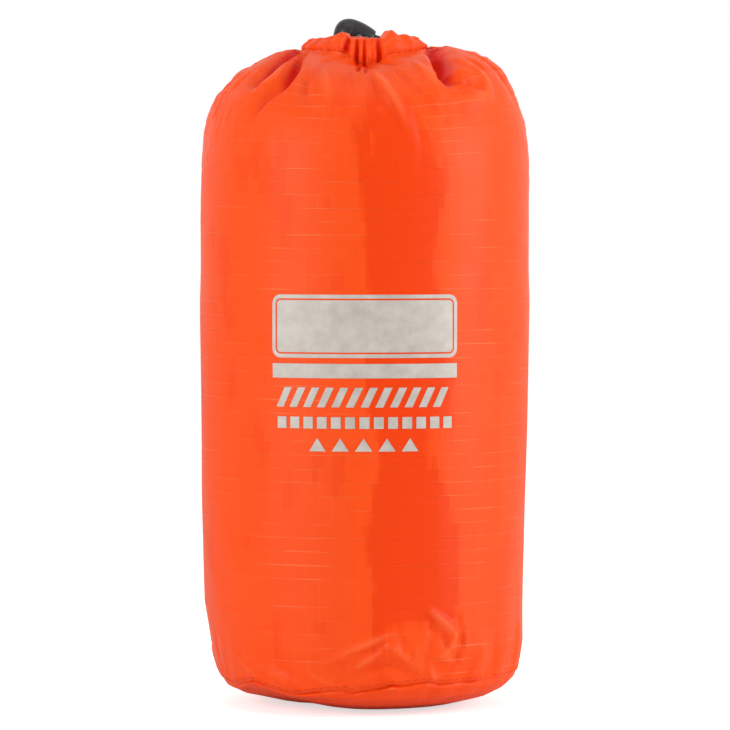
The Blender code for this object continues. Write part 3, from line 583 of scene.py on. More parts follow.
# pinches of the gathered hem: azimuth, depth in mm, half width in degrees
HEM_PINCHES = (
    (-108, 2.8, 3.4), (-97.5, 3.2, 2.0), (-90.5, 2.6, 1.9), (-84, 0.9, 2.2), (-76, 3.4, 3.6),
    (-47, 0.8, 4.5),
    (-14, 3.0, 4.0), (-1, 2.6, 4.2), (12, 3.3, 3.6), (25, 1.6, 3.6), (40, 3.4, 3.8), (54, 1.8, 3.4),
    (128, 2.6, 3.8), (143, 3.4, 3.8), (157, 1.7, 3.6), (170, 3.2, 4.4), (-176, 2.0, 3.0),
    (-165, 3.2, 3.4),
    (-142, 0.9, 4.5), (-124, 0.8, 3.0),
)
# folds over the shoulder: (azimuth, radius in mm) of their places from the hem outwards, then
# depth and half width in mm, share of the depth at the first place, and the side of the steep
# wall; a ridge has a depth less than 0
SHOULDER_FOLDS = (
    (((-3, 23), (-18, 26), (-33, 30.5), (-45, 38), (-51.5, 45.5), (-54, 52)), 9.0, 3.1, 0.5, -1),
    (((-55, 48.5), (-48, 50), (-43.5, 51), (-40, 52.5), (-35, 54.3)), 2.8, 1.3, 0.9, -1),
    (((-33, 37), (-35.5, 43), (-33, 48), (-31, 52), (-34, 55), (-41, 56), (-48, 55.5),
      (-53, 53)), -1.2, 1.7, 0.4, 1),
    (((-1, 24), (-6, 38), (-12, 52), (-15, 58)), 2.4, 2.8, 0.5, 1),
    (((-178, 24), (-160, 27.7), (-147, 34.5), (-141.5, 41.4), (-141.5, 47),
      (-143, 52.5)), 7.6, 2.9, 0.35, 1),
    (((-150, 27), (-137, 33.5), (-127.5, 43), (-126.5, 49.5), (-132, 53.7),
      (-135, 58.5)), 5.2, 2.5, 0.15, 1),
    (((-155, 27), (-138, 36), (-133, 44), (-134, 49.5), (-139, 53)), -1.6, 1.7, 0.4, 1),
    (((-178, 26), (-174, 38), (-168, 50), (-163, 57)), 1.8, 2.8, 0.2, 1),
    (((-108, 23), (-112, 29), (-117, 36)), 2.2, 2.0, 0.9, 1),
    (((-88, 21), (-88, 28), (-87, 34), (-86, 41)), 2.4, 6.4, 1.0, 1),
    (((-97.5, 22), (-98, 28), (-99, 34)), 2.4, 1.5, 1.0, -1),
    (((-90.5, 22), (-90, 27), (-89, 33)), 2.2, 1.4, 1.0, 1),
    (((-84, 23), (-84, 27), (-83, 30)), 0.8, 1.3, 1.0, 1),
    (((-76, 23), (-73, 30), (-70, 38)), 2.6, 2.2, 0.9, 1),
    (((12, 23), (14, 34), (10, 46), (7, 57)), 4.6, 3.4, 0.6, -1),
    (((25, 23), (26, 32), (29, 42)), 2.0, 2.8, 0.8, 1),
    (((40, 23), (42, 34), (47, 46), (49, 57)), 4.8, 3.6, 0.6, -1),
    (((34, 34), (33, 46), (31, 57)), -1.5, 3.4, 0.2, 1),
    (((54, 23), (60, 33), (67, 44)), 2.6, 3.0, 0.7, 1),
    (((128, 23), (123, 34), (118, 47), (117, 57)), 4.0, 3.4, 0.6, 1),
    (((106, 30), (103, 40), (104, 52)), -1.0, 3.6, 0.2, 1),
    (((143, 23), (144, 33), (149, 44)), 3.4, 3.0, 0.7, -1),
    (((138, 34), (136, 46), (135, 57)), -1.4, 3.4, 0.2, 1),
    (((157, 23), (160, 35), (166, 47), (168, 57)), 3.6, 3.4, 0.6, -1),
    (((170, 23), (176, 34), (-179, 46)), 2.6, 2.6, 0.3, 1),
    (((20, 48), (15, 54), (14, 59)), 1.5, 2.4, 0.2, 1),
    (((72, 44), (78, 51), (80, 58)), 1.3, 2.8, 0.2, 1),
    (((152, 50), (153, 57)), 1.2, 2.4, 0.2, 1),
)
# small swells and dents that the settled cloth keeps, given in the same way
SHOULDER_DENTS = (
    (((-152, 46.5), (-156.5, 51.1), (-159.5, 53.9), (-163, 56.5), (-166, 58.5)), 1.8, 1.9, 0.3, 1),
    (((-29, 42), (-27, 46), (-25.5, 50)), 1.2, 1.1, 0.5, 1),
    (((-118, 44), (-115, 49.5), (-113, 55)), 1.3, 1.7, 0.3, 1),
    (((-110, 42), (-107, 48), (-104, 55)), -0.9, 2.2, 0.3, 1),
    (((-86, 42), (-84, 48), (-80, 53.5), (-76, 57.5), (-75, 59)), -1.7, 1.9, 0.35, -1),
    (((-75, 40), (-72, 46), (-69, 52), (-67, 57)), 1.2, 2.2, 0.3, 1),
    (((-62, 38), (-61, 46), (-59, 54)), -1.2, 2.0, 0.3, -1),
    (((-98, 38), (-95, 45), (-92, 52)), 0.8, 2.6, 0.3, 1),
    (((-72, 55), (-70, 58.5), (-69, 60.5)), 0.7, 1.3, 0.5, 1),
    (((-93.7, 30), (-93.3, 36), (-93, 43)), 1.5, 0.8, 0.6, 1),
    (((-90.2, 34), (-90, 40), (-89.8, 45)), 1.3, 0.8, 0.6, -1),
    (((62, 34), (58, 44), (56, 54)), 0.9, 2.2, 0.3, 1),
    (((98, 44), (95, 50), (95, 57)), -0.9, 2.2, 0.3, 1),
    (((4, 36), (0, 46), (-2, 55)), -1.0, 2.2, 0.3, 1),
)
# a sharp crease at the far left, which shows by painted shade in the cloth's colour and hardly by
# its depth
SHOULDER_CREASE_SHADE = (
    (((-154, 49.5), (-156.5, 51.1), (-159.5, 53.9), (-163, 56.5), (-165, 57.5)), 5.0, 0.8, 0.6, 1),
)
LOCK_HOLLOW = (86, 2.4, 17)      # the cord lock lies in this hollow at the back
STITCH_RADIUS = 0.0238           # of the row of stitches under the hem
STITCH_HEIGHT = 0.2437
STITCH_DIP = 0.0040              # the row lies lower in the middle of the front
STEEP_WALL, GENTLE_WALL = 1.55, 0.8  # how fast a fold's two walls rise
FRONT_DIP = 0.0013               # just outside the stitches, at the radius that follows
FRONT_DIP_RADIUS = 0.0275
SOFT_SWELL = 0.0005              # of the cloth between the folds
ROLL_UNDER = 0.0009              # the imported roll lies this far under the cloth
CLOTH_EASE = 1.03                # the cloth is cut this much wider than it lies, so it buckles
SETTLING_FRAMES = 14
MOST_MOVED = 0.0013              # limits of what the settling may move the cloth, and lift it
MOST_LIFTED = 0.0004


def turn_from(angle, middle):
    """Smallest turn from a middle azimuth to each angle, in degrees."""
    return (angle - middle + 180) % 360 - 180


def hump(angle, middle, half_width, power=2):
    """1 at a middle azimuth, falling off smoothly to both sides over a half width in degrees."""
    return np.exp(-(turn_from(angle, middle) / half_width) ** power)


def ramp(value, start, length):
    """0 up to a start, then an even rise to 1 over a length."""
    return np.clip((value - start) / length, 0, 1)


def eased(share):
    """A share of 0 to 1 with a gentle start and end."""
    return share ** 2 * (3 - 2 * share)


def azimuth_radius(points):
    """Azimuths in degrees and radii of points round the sack's upright axis."""
    return (np.degrees(np.arctan2(points[..., 1], points[..., 0])),
            np.hypot(points[..., 0], points[..., 1]))


def outward_from(grid, step):
    """Directions straight out of a band made of rows of points."""
    around = np.roll(grid, -step, axis=1) - np.roll(grid, step, axis=1)
    outward = np.cross(around, np.gradient(grid, axis=0))
    return outward / np.linalg.norm(outward, axis=2, keepdims=True)


def side_weights(angle):
    """Share of the left, right, front and back outline at an azimuth in degrees."""
    c, s = np.cos(np.radians(angle)), np.sin(np.radians(angle))
    return {"right": np.maximum(c, 0) ** 2, "left": np.maximum(-c, 0) ** 2,
            "back": np.maximum(s, 0) ** 2, "front": np.maximum(-s, 0) ** 2}


def even_outline(table, count):
    """Evenly spaced (radius, height) points in metres along an outline given in mm."""
    points = smooth_path([(r, 0.0, z) for r, z in table], 0.4)
    along = np.linspace(0, len(points) - 1, count)
    index = np.arange(len(points))
    return np.stack([np.interp(along, index, points[:, k]) for k in (0, 2)], axis=1) * 0.001


def hem_ring(angle):
    """Radius and height of the row of stitches under the hem."""
    radius = np.full_like(angle, STITCH_RADIUS)
    for azimuth, depth, half_width in HEM_PINCHES:
        radius -= 0.001 * depth * hump(angle, azimuth, half_width)
    height = (STITCH_HEIGHT + 0.0011 * np.cos(np.radians(2 * angle))
              + 0.0004 * np.sin(np.radians(3 * angle + 100)))
    height -= STITCH_DIP * hump(angle, -88, 17.0, 4)
    return radius, height


def ripple(angle, height, seed, turns, rise, count=7):
    """Smooth seeded noise of about -1 to 1 over azimuth (degrees) and height (metres)."""
    dice = np.random.default_rng(seed)
    total = np.zeros(np.broadcast(angle, height).shape)
    for _ in range(count):
        waves = dice.integers(1, turns + 1)
        slope = dice.uniform(-rise, rise)
        total += np.sin(np.radians(waves * angle) + slope * height + dice.uniform(0, math.tau))
    return total / math.sqrt(count) / 1.4


def fold_relief(x, y, line, deepest, half_width, first_share, steep_side, roundness=1.5):
    """Depth of one fold that runs along a line of (x, y) places, all in mm."""
    nearest = np.full(x.shape, 1e9)
    side, share = np.zeros_like(x), np.zeros_like(x)
    for index, (start, end) in enumerate(zip(line, line[1:])):
        step = end - start
        along = np.clip(((x - start[0]) * step[0] + (y - start[1]) * step[1]) / (step @ step), 0, 1)
        off_x, off_y = x - start[0] - along * step[0], y - start[1] - along * step[1]
        distance = np.hypot(off_x, off_y)
        closer = distance < nearest
        nearest = np.where(closer, distance, nearest)
        side = np.where(closer, np.sign(step[0] * off_y - step[1] * off_x), side)
        share = np.where(closer, (index + along) / (len(line) - 1), share)
    # narrow at its start, with one steep and one gentle wall and a low crest beside each
    width = half_width * (0.55 + 0.45 * np.clip(share * 2, 0, 1))
    off = nearest / width * np.where(side * steep_side > 0, STEEP_WALL, GENTLE_WALL)
    crest = min(0.16, 0.45 / abs(deepest))
    valley = np.exp(-off ** roundness) - crest * np.exp(-(off - 2.0) ** 2)
    # deepest near its middle, and running out to nothing at its end
    rise = first_share + (1 - first_share) * np.sin(ramp(share, 0, 0.45) * math.pi / 2)
    return deepest * valley * rise * np.cos(ramp(share, 0.55, 0.45) * math.pi / 2) ** 0.7


def fold_depth(angle, radius, folds):
    """How deep the shoulder's folds are at each azimuth and radius, as seen from above."""
    turn = np.radians(angle)
    x, y = 1000 * radius * np.cos(turn), 1000 * radius * np.sin(turn)
    total = np.zeros_like(x)
    for places, *shape in folds:
        corners = [(r * math.cos(math.radians(a)), r * math.sin(math.radians(a)), 0.0)
                   for a, r in places]
        total += 0.001 * fold_relief(x, y, smooth_path(corners, 1.0)[:, :2], *shape)
    return total


def shoulder_start():
    """The gathered shoulder before the cloth settles: rows from the wall up to the stitches."""
    down = np.linspace(0, 1, SHOULDER_ROWS)[:, None]
    # the columns start evenly spaced and end evenly spaced along the pinched row of stitches
    even = np.arange(AROUND) * 360.0 / AROUND - 180.0
    fine = np.linspace(-180, 180, 7201)
    ring = round_points(np.radians(fine), hem_ring(fine)[0], 0.0)
    run = np.concatenate([[0], np.cumsum(np.hypot(*np.diff(ring[:, :2], axis=0).T))])
    gathered = np.interp(np.arange(AROUND) / AROUND * run[-1], run, fine)
    draw = eased(ramp(down, 0.30, 0.70))
    angle = even[None, :] * (1 - draw) + gathered[None, :] * draw
    weights = side_weights(angle)
    radius, height = np.zeros_like(angle), np.zeros_like(angle)
    for side_name, table in SHOULDER_OUTLINES.items():
        outline = even_outline(table, SHOULDER_ROWS)
        radius += weights[side_name] * outline[:, :1]
        height += weights[side_name] * outline[:, 1:]
    climb_r, climb_z = np.gradient(radius, axis=0), np.gradient(height, axis=0)
    size = np.hypot(climb_r, climb_z)
    out_r, out_z = climb_z / size, -climb_r / size
    depth = fold_depth(angle, radius, SHOULDER_FOLDS) * ramp(down, 0, 0.12)
    azimuth, deepest, half_width = LOCK_HOLLOW
    hollow = hump(angle, azimuth, half_width) * np.exp(-((down - 0.84) / 0.16) ** 2)
    depth += 0.001 * deepest * hollow
    # the drawn cloth dips just outside the stitches at the front
    in_front = np.clip(0.3 - np.sin(np.radians(angle)), 0, 1)
    depth += FRONT_DIP * np.exp(-((radius - FRONT_DIP_RADIUS) / 0.0040) ** 2) * in_front
    soft = ripple(angle, down * 0.12, 5, 9, 60) * SOFT_SWELL * np.sin(down * math.pi) ** 0.7
    radius = radius - out_r * (depth - soft)
    height = height - out_z * (depth - soft)
    # the last rows run into the row of stitches
    stitch_radius, stitch_height = hem_ring(angle)
    blend = ramp(down, 0.88, 0.12) ** 1.5
    radius = radius * (1 - blend) + stitch_radius * blend
    height = height * (1 - blend) + stitch_height * blend
    return round_points(np.radians(angle), radius, height)


def settle_cloth(grid):
    """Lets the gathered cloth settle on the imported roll, so that it wrinkles by itself."""
    rows, columns = grid.shape[:2]
    cloth = add_piece("settling_cloth", grid.reshape(-1, 3), ring_quads(rows, columns), lock_finish)
    held = cloth.vertex_groups.new(name="held")
    held.add([*range(2 * columns), *range((rows - 1) * columns, rows * columns)], 1.0, "REPLACE")
    cloth.shape_key_add(name="start")
    cut = cloth.shape_key_add(name="cut")
    # the cloth was cut wider than it now lies, so it buckles; upright it fits
    cut.data.foreach_set("co", (grid * np.array([CLOTH_EASE, CLOTH_EASE, 1.0])).ravel())
    outward = outward_from(grid, 2)
    packed = (grid - outward * ROLL_UNDER)[:, ::2]
    roll = add_piece("packed_roll", packed.reshape(-1, 3), ring_quads(rows, packed.shape[1]),
                     lock_finish)
    roll.modifiers.new("collision", "COLLISION")
    roll.collision.thickness_outer = 0.0003
    roll.collision.cloth_friction = 2.0
    settling = cloth.modifiers.new("settling", "CLOTH")
    rules = {"quality": 5, "mass": 0.02, "air_damping": 1.0,
             "tension_stiffness": 25, "compression_stiffness": 25, "shear_stiffness": 10,
             "bending_stiffness": 0.06, "tension_damping": 5, "compression_damping": 5,
             "shear_damping": 5, "bending_damping": 0.5, "rest_shape_key": cut,
             "vertex_group_mass": "held", "use_pressure": True, "uniform_pressure_force": 0.04}
    for rule, value in rules.items():
        setattr(settling.settings, rule, value)
    settling.settings.effector_weights.gravity = 0.0
    settling.collision_settings.distance_min = 0.0005
    settling.collision_settings.use_self_collision = False
    settling.point_cache.frame_end = SETTLING_FRAMES
    for moment in range(1, SETTLING_FRAMES + 1):
        bpy.context.scene.frame_set(moment)
    depsgraph = bpy.context.evaluated_depsgraph_get()
    made = bpy.data.meshes.new_from_object(cloth.evaluated_get(depsgraph))
    settled = np.empty(rows * columns * 3)
    made.vertices.foreach_get("co", settled)
    settled = settled.reshape(grid.shape)
    bpy.context.scene.frame_set(1)
    for thing in (cloth, roll):
        bpy.data.objects.remove(thing, do_unlink=True)
    # what lifts a whole row is taken off again, so that the outline stays as drawn
    moved = settled - grid
    lifted = (moved * outward).sum(axis=2, keepdims=True).mean(axis=1, keepdims=True)
    moved = moved - outward * lifted
    rise = (moved * outward).sum(axis=2, keepdims=True)
    moved = moved - outward * np.maximum(rise - MOST_LIFTED, 0)
    distance = np.linalg.norm(moved, axis=2, keepdims=True)
    # the front is drawn smoother than the back
    calm = 1 - 0.8 * hump(azimuth_radius(grid)[0][..., None], -90, 80.0, 6)
    return grid + moved * calm * np.minimum(1.0, MOST_MOVED / np.maximum(distance, 1e-9))


# row of stitches between the side panel and the base panel, azimuth and height in mm
BASE_SEAM = ((-175, 9.5), (-155, 8.6), (-138, 11.9), (-129, 9.4), (-119, 7.8), (-110, 9.3),
             (-104, 9.8), (-98, 10.4),
             (-94, 9.4), (-91, 10.3), (-84, 11.2), (-80, 12.5), (-77, 12.0), (-66, 13.2),
             (-61, 12.0), (-52, 12.1),
             (-33, 12.1), (-10, 11.9), (12, 12.2), (35, 10.4), (55, 9.4), (78, 10.8), (100, 10.0),
             (122, 8.8),
             (140, 10.6), (162, 9.2))
# height and radius of the wall, both in mm, at the four sides
FRONT_OUTLINE = ((0, 24.0), (1, 33.0), (4, 46.0), (7, 52.0), (10, 54.8), (13, 56.6), (23.5, 59.0),
                 (38.5, 59.7), (76, 60.6), (151, 61.6), (165, 61.4))
WALL_OUTLINES = {
    "left": ((0, 24.0), (1, 31.0), (4, 45.5), (7, 51.6), (10, 53.8), (13, 55.3), (23.5, 57.7),
             (38.5, 60.1), (76, 61.1), (151, 61.8), (165, 61.5)),
    "right": ((0, 24.0), (1, 35.0), (4, 46.6), (7, 52.5), (10, 55.6), (13, 57.3), (23.5, 59.2),
              (38.5, 59.4), (76, 60.3), (151, 61.7), (165, 61.4)),
    "front": FRONT_OUTLINE,
    "back": FRONT_OUTLINE,
}
# soft upright creases where the folded cloth inside has its edges: azimuth, height in mm and
# half width
WALL_CREASES = ((-95, 0.62, 9), (-62, 0.68, 9), (-128, 0.40, 12), (-36, 0.45, 10), (-160, 0.50, 12),
                (-8, 0.45, 12), (24, 0.5, 13), (58, 0.4, 12), (88, 0.3, 10), (118, 0.45, 12),
                (150, 0.5, 14))
# wrinkles above the base seam: (azimuth, height in mm) of their places, then as for the shoulder
WALL_FOLDS = (
    (((-105, 20.5), (-93, 26.0), (-83, 31.0), (-78, 31.5)), -1.6, 1.7, 0.3, 1),
    (((-96, 17.5), (-88, 23.0), (-82, 27.6)), -1.5, 1.2, 0.5, 1),
    (((-83, 27.8), (-76, 23.5), (-70, 17.0)), -1.3, 1.2, 0.9, 1),
    (((-90, 18.0), (-82, 20.5), (-74, 17.0)), 1.8, 2.2, 0.5, 1),
    (((-100, 23.0), (-90, 24.5), (-85, 27)), 1.2, 1.3, 0.5, -1),
    (((-78, 31), (-76, 27), (-77, 23)), 1.0, 1.5, 0.6, 1),
    (((-67, 39.5), (-61, 35), (-56, 30)), -1.9, 1.8, 0.6, 1),
    (((-56, 31), (-58.5, 26), (-63, 22.5)), -1.6, 1.5, 0.8, -1),
    (((-64, 23), (-59, 22), (-56, 19.5)), -1.2, 1.2, 0.6, 1),
    (((-67, 20), (-64.5, 16), (-62, 12.5)), -1.4, 1.6, 0.6, 1),
    (((-62, 30), (-60, 26.5), (-58, 24.5)), 1.1, 1.0, 0.6, -1),
    (((-68, 37.0), (-66, 30), (-68, 22), (-66, 15)), 1.1, 1.5, 0.5, -1),
    (((-55, 37.0), (-53.5, 29), (-55, 21), (-60, 13)), 1.7, 1.3, 0.4, 1),
    (((-69, 16.0), (-72, 23), (-70, 29)), -0.8, 1.2, 0.8, 1),
    (((-150, 23.0), (-141, 18), (-132, 13.5)), -0.8, 1.5, 0.3, 1),
    (((-137, 21.5), (-126, 15.5), (-116, 11)), -0.8, 1.3, 0.3, 1),
    (((-129, 22.5), (-120, 16.5), (-111, 11.5)), 1.1, 2.2, 0.3, -1),
    (((-115, 20.0), (-106, 14.5), (-97, 11)), -0.9, 1.5, 0.3, 1),
    (((-101, 22.0), (-95, 17.5), (-89, 14.0)), 0.8, 1.3, 0.3, -1),
    (((-48, 14.0), (-44, 21), (-42, 30)), -0.7, 1.8, 0.8, 1),
    (((-36, 13.0), (-35, 20), (-37, 27)), 0.8, 1.4, 0.8, 1),
    (((-160, 11.0), (-163, 19), (-161, 28)), 0.8, 1.6, 0.8, 1),
    (((-14, 13.0), (-17, 22), (-14, 33)), -0.9, 1.8, 0.8, -1),
    (((-4, 13.0), (0, 20), (2, 26)), 0.9, 1.5, 0.8, 1),
    (((10, 26.0), (19, 19.5), (27, 12)), -0.9, 1.6, 0.3, 1),
    (((18, 29.0), (26, 21), (33, 12)), 1.0, 2.0, 0.3, -1),
    (((44, 11.0), (40, 21), (43, 35)), -0.9, 1.9, 0.8, 1),
    (((52, 11.0), (53, 18), (50, 26)), 0.9, 1.4, 0.8, 1),
    (((68, 24.0), (77, 18), (86, 12)), -0.8, 1.5, 0.3, 1),
    (((96, 12.0), (98, 22), (95, 31)), 0.9, 1.7, 0.8, 1),
    (((108, 27.0), (115, 19), (124, 11)), -1.0, 1.6, 0.3, -1),
    (((118, 30.0), (127, 21), (133, 13)), 0.9, 2.0, 0.3, 1),
    (((146, 12.0), (143, 22), (146, 37)), -1.0, 1.8, 0.8, 1),
    (((158, 11.0), (160, 19), (157, 29)), 0.9, 1.4, 0.8, 1),
    (((172, 25.0), (-179, 18), (-172, 11)), -0.8, 1.5, 0.3, 1),
)
FOLDS_TOP = 0.055                # they end below this height
FOLDS_RADIUS = 59.0              # mm, to unroll the wall for them
CREASE_WANDER = 2.2              # degrees to which an upright crease wanders on its way up
# slow and fine unevenness of the wall
WALL_SWELL, WALL_GRAIN = 0.00028, 0.00010
# wrinkles fan up from the base seam, further at some azimuths: azimuth, reach, half width
FAN_REACH = 0.010
SEAM_FANS = ((-76, 0.016, 18.0), (-125, 0.008, 16.0), (30, 0.010, 30.0), (140, 0.008, 30.0))
SEAM_PUCKERS = (21, 34, 0, 11)   # seed, turns, rise and count of the seam's puckers
SEAM_FRONT = (-92, 62.0, 4)      # the seam is pulled in most over this part of the front
SEAM_GROOVE = 0.0007             # half width of the groove along the seam
# height of the hem's rim in mm over azimuth
HEM_RIM = (
    (-160, 248.4), (-142, 248.6), (-128, 249.0), (-114, 250.2), (-105, 248.4), (-98, 247.3),
    (-88, 246.9), (-80, 247.3), (-70, 247.8), (-61, 250.7), (-52, 249.6), (-41, 249.4),
    (-20, 248.7), (-8, 247.2), (10, 248.0), (40, 249.0), (62, 249.3), (80, 249.6), (86, 250.4),
    (103, 250.6), (110, 249.6), (122, 249.3), (150, 248.8), (180, 248.5),
)
HEM_SWELL = 0.0008               # the hem bulges over the cord
HEM_TUCK = 0.0017
RIM_WAVE = 0.00035
RIM_INSET = 0.0016               # from the hem's outside to the fold at its rim
CORD_ROOM = 0.0004               # between the cord and the rim over it
INNER_RADIUS = 0.0152            # of the hem's inside, round the mouth
RAW_EDGE = (0.0030, 0.0032)      # out from the hem's inside and down from the stitches
HEM_OUTSIDE, HEM_INSIDE = 18, 22     # rows of cloth from the stitches to these parts' ends
EXIT_AZIMUTH = 92.4              # of the back seam and of the cord's way out above it
EXIT_HALF_WIDTH = 9.4
EXIT_FOOT = 0.2441
BACK_SEAM_HALF_WIDTH = 0.0046
BACK_SEAM_EDGE = 0.0008          # over which its layers rise from the cloth
SEAM_LAYERS = 0.0004             # how far the felled seam's layers stand out
LAP_EDGE = 4.2                   # mm from the felled seam's middle to its folded edges
SEAM_LEVEL = 0.011               # height from which the cloth's yarns are counted
# strip of painted shade, deeper in colour, in mm of cloth: its middle, half width, lower end and
# upper end
PAINTED_SHADE_STRIP = (117.2, 14.5, 19.0, 214.0)


def seam_height(angle):
    """Height of the seam round the base at an azimuth."""
    table = np.array(BASE_SEAM, dtype=float)
    return 0.001 * np.interp(angle, table[:, 0], table[:, 1], period=360)


def outline_radius(angle, height):
    """Radius of the filled sack without its creases, from the outlines of its four sides."""
    weights = side_weights(angle)
    radius = np.zeros(np.broadcast(angle, height).shape)
    for side_name, table in WALL_OUTLINES.items():
        table = np.array(table, dtype=float) * 0.001
        radius += weights[side_name] * np.interp(height, table[:, 0], table[:, 1])
    return radius


def wall_folds_depth(angle, height):
    """How deep the wrinkles above the base seam are, on the unrolled wall."""
    total = np.zeros(np.broadcast(angle, height).shape)
    low = np.broadcast_to(height, total.shape) < FOLDS_TOP
    if not low.any():
        return total
    mm_per_degree = math.radians(FOLDS_RADIUS)
    y = 1000 * np.broadcast_to(height, total.shape)[low]
    for places, *shape in WALL_FOLDS:
        first = places[0][0]
        corners = [(float(turn_from(a, first)) * mm_per_degree, z, 0.0) for a, z in places]
        x = turn_from(np.broadcast_to(angle, total.shape)[low], first) * mm_per_degree
        total[low] += 0.001 * fold_relief(x, y, smooth_path(corners, 1.0)[:, :2], *shape,
                                          roundness=1.1)
    return total


def wall_radius(angle, height):
    """Radius of the wall with its creases, dents and the wrinkles that the base seam draws."""
    radius = outline_radius(angle, height)
    upper = ramp(height, 0.020, 0.030) * np.clip((SHOULDER_START + 0.006 - height) / 0.03, 0, 1)
    for azimuth, crown, half_width in WALL_CREASES:
        wander = ripple(np.zeros_like(radius) + azimuth, height, int(azimuth + 400), 3, 75, 6)
        off = np.abs(turn_from(angle, azimuth + CREASE_WANDER * wander)) / half_width
        crease = np.exp(-np.sqrt(off ** 2 + 0.02)) - half_width / 180
        radius += 0.001 * crown * crease * upper
    radius += WALL_SWELL * ripple(angle, height, 11, 7, 50) * upper
    radius += WALL_GRAIN * ripple(angle, height, 12, 26, 190, 12) * upper
    over_seam = height - seam_height(angle)
    fan = sum((reach * hump(angle, azimuth, half_width)
               for azimuth, reach, half_width in SEAM_FANS), FAN_REACH)
    fade = np.exp(-np.maximum(over_seam, 0) / fan) * ramp(over_seam, 0, 0.001)
    leaning = angle + 260 * np.maximum(over_seam, 0) * np.sin(np.radians(angle * 3 + 40))
    radius += 0.00060 * ripple(leaning, 0.0, *SEAM_PUCKERS) * fade
    radius += 0.00022 * ripple(leaning, height, 22, 70, 60, 12) * fade
    radius -= wall_folds_depth(angle, height) * ramp(over_seam, 0, 0.0015)
    # the seam is pulled in, so the side panel stands over it in a sharp edge
    pulled_in = 0.0002 + 0.0011 * hump(angle, *SEAM_FRONT)
    return radius - pulled_in * np.exp(-(over_seam / SEAM_GROOVE) ** 2)


def refine(grid, axis, closed):
    """Doubles a grid's points along an axis, with smooth points between them."""
    grid = np.moveaxis(grid, axis, 0)
    if closed:
        padded = np.concatenate([grid[-1:], grid, grid[:2]])
    else:
        padded = np.concatenate([2 * grid[:1] - grid[1:2], grid, 2 * grid[-1:] - grid[-2:-1]])
    middle = (9 * (padded[1:-2] + padded[2:-1]) - padded[:-3] - padded[3:]) / 16
    fine = np.empty((len(grid) + len(middle), *grid.shape[1:]))
    fine[0::2], fine[1::2] = grid, middle
    return np.moveaxis(fine, 0, axis)


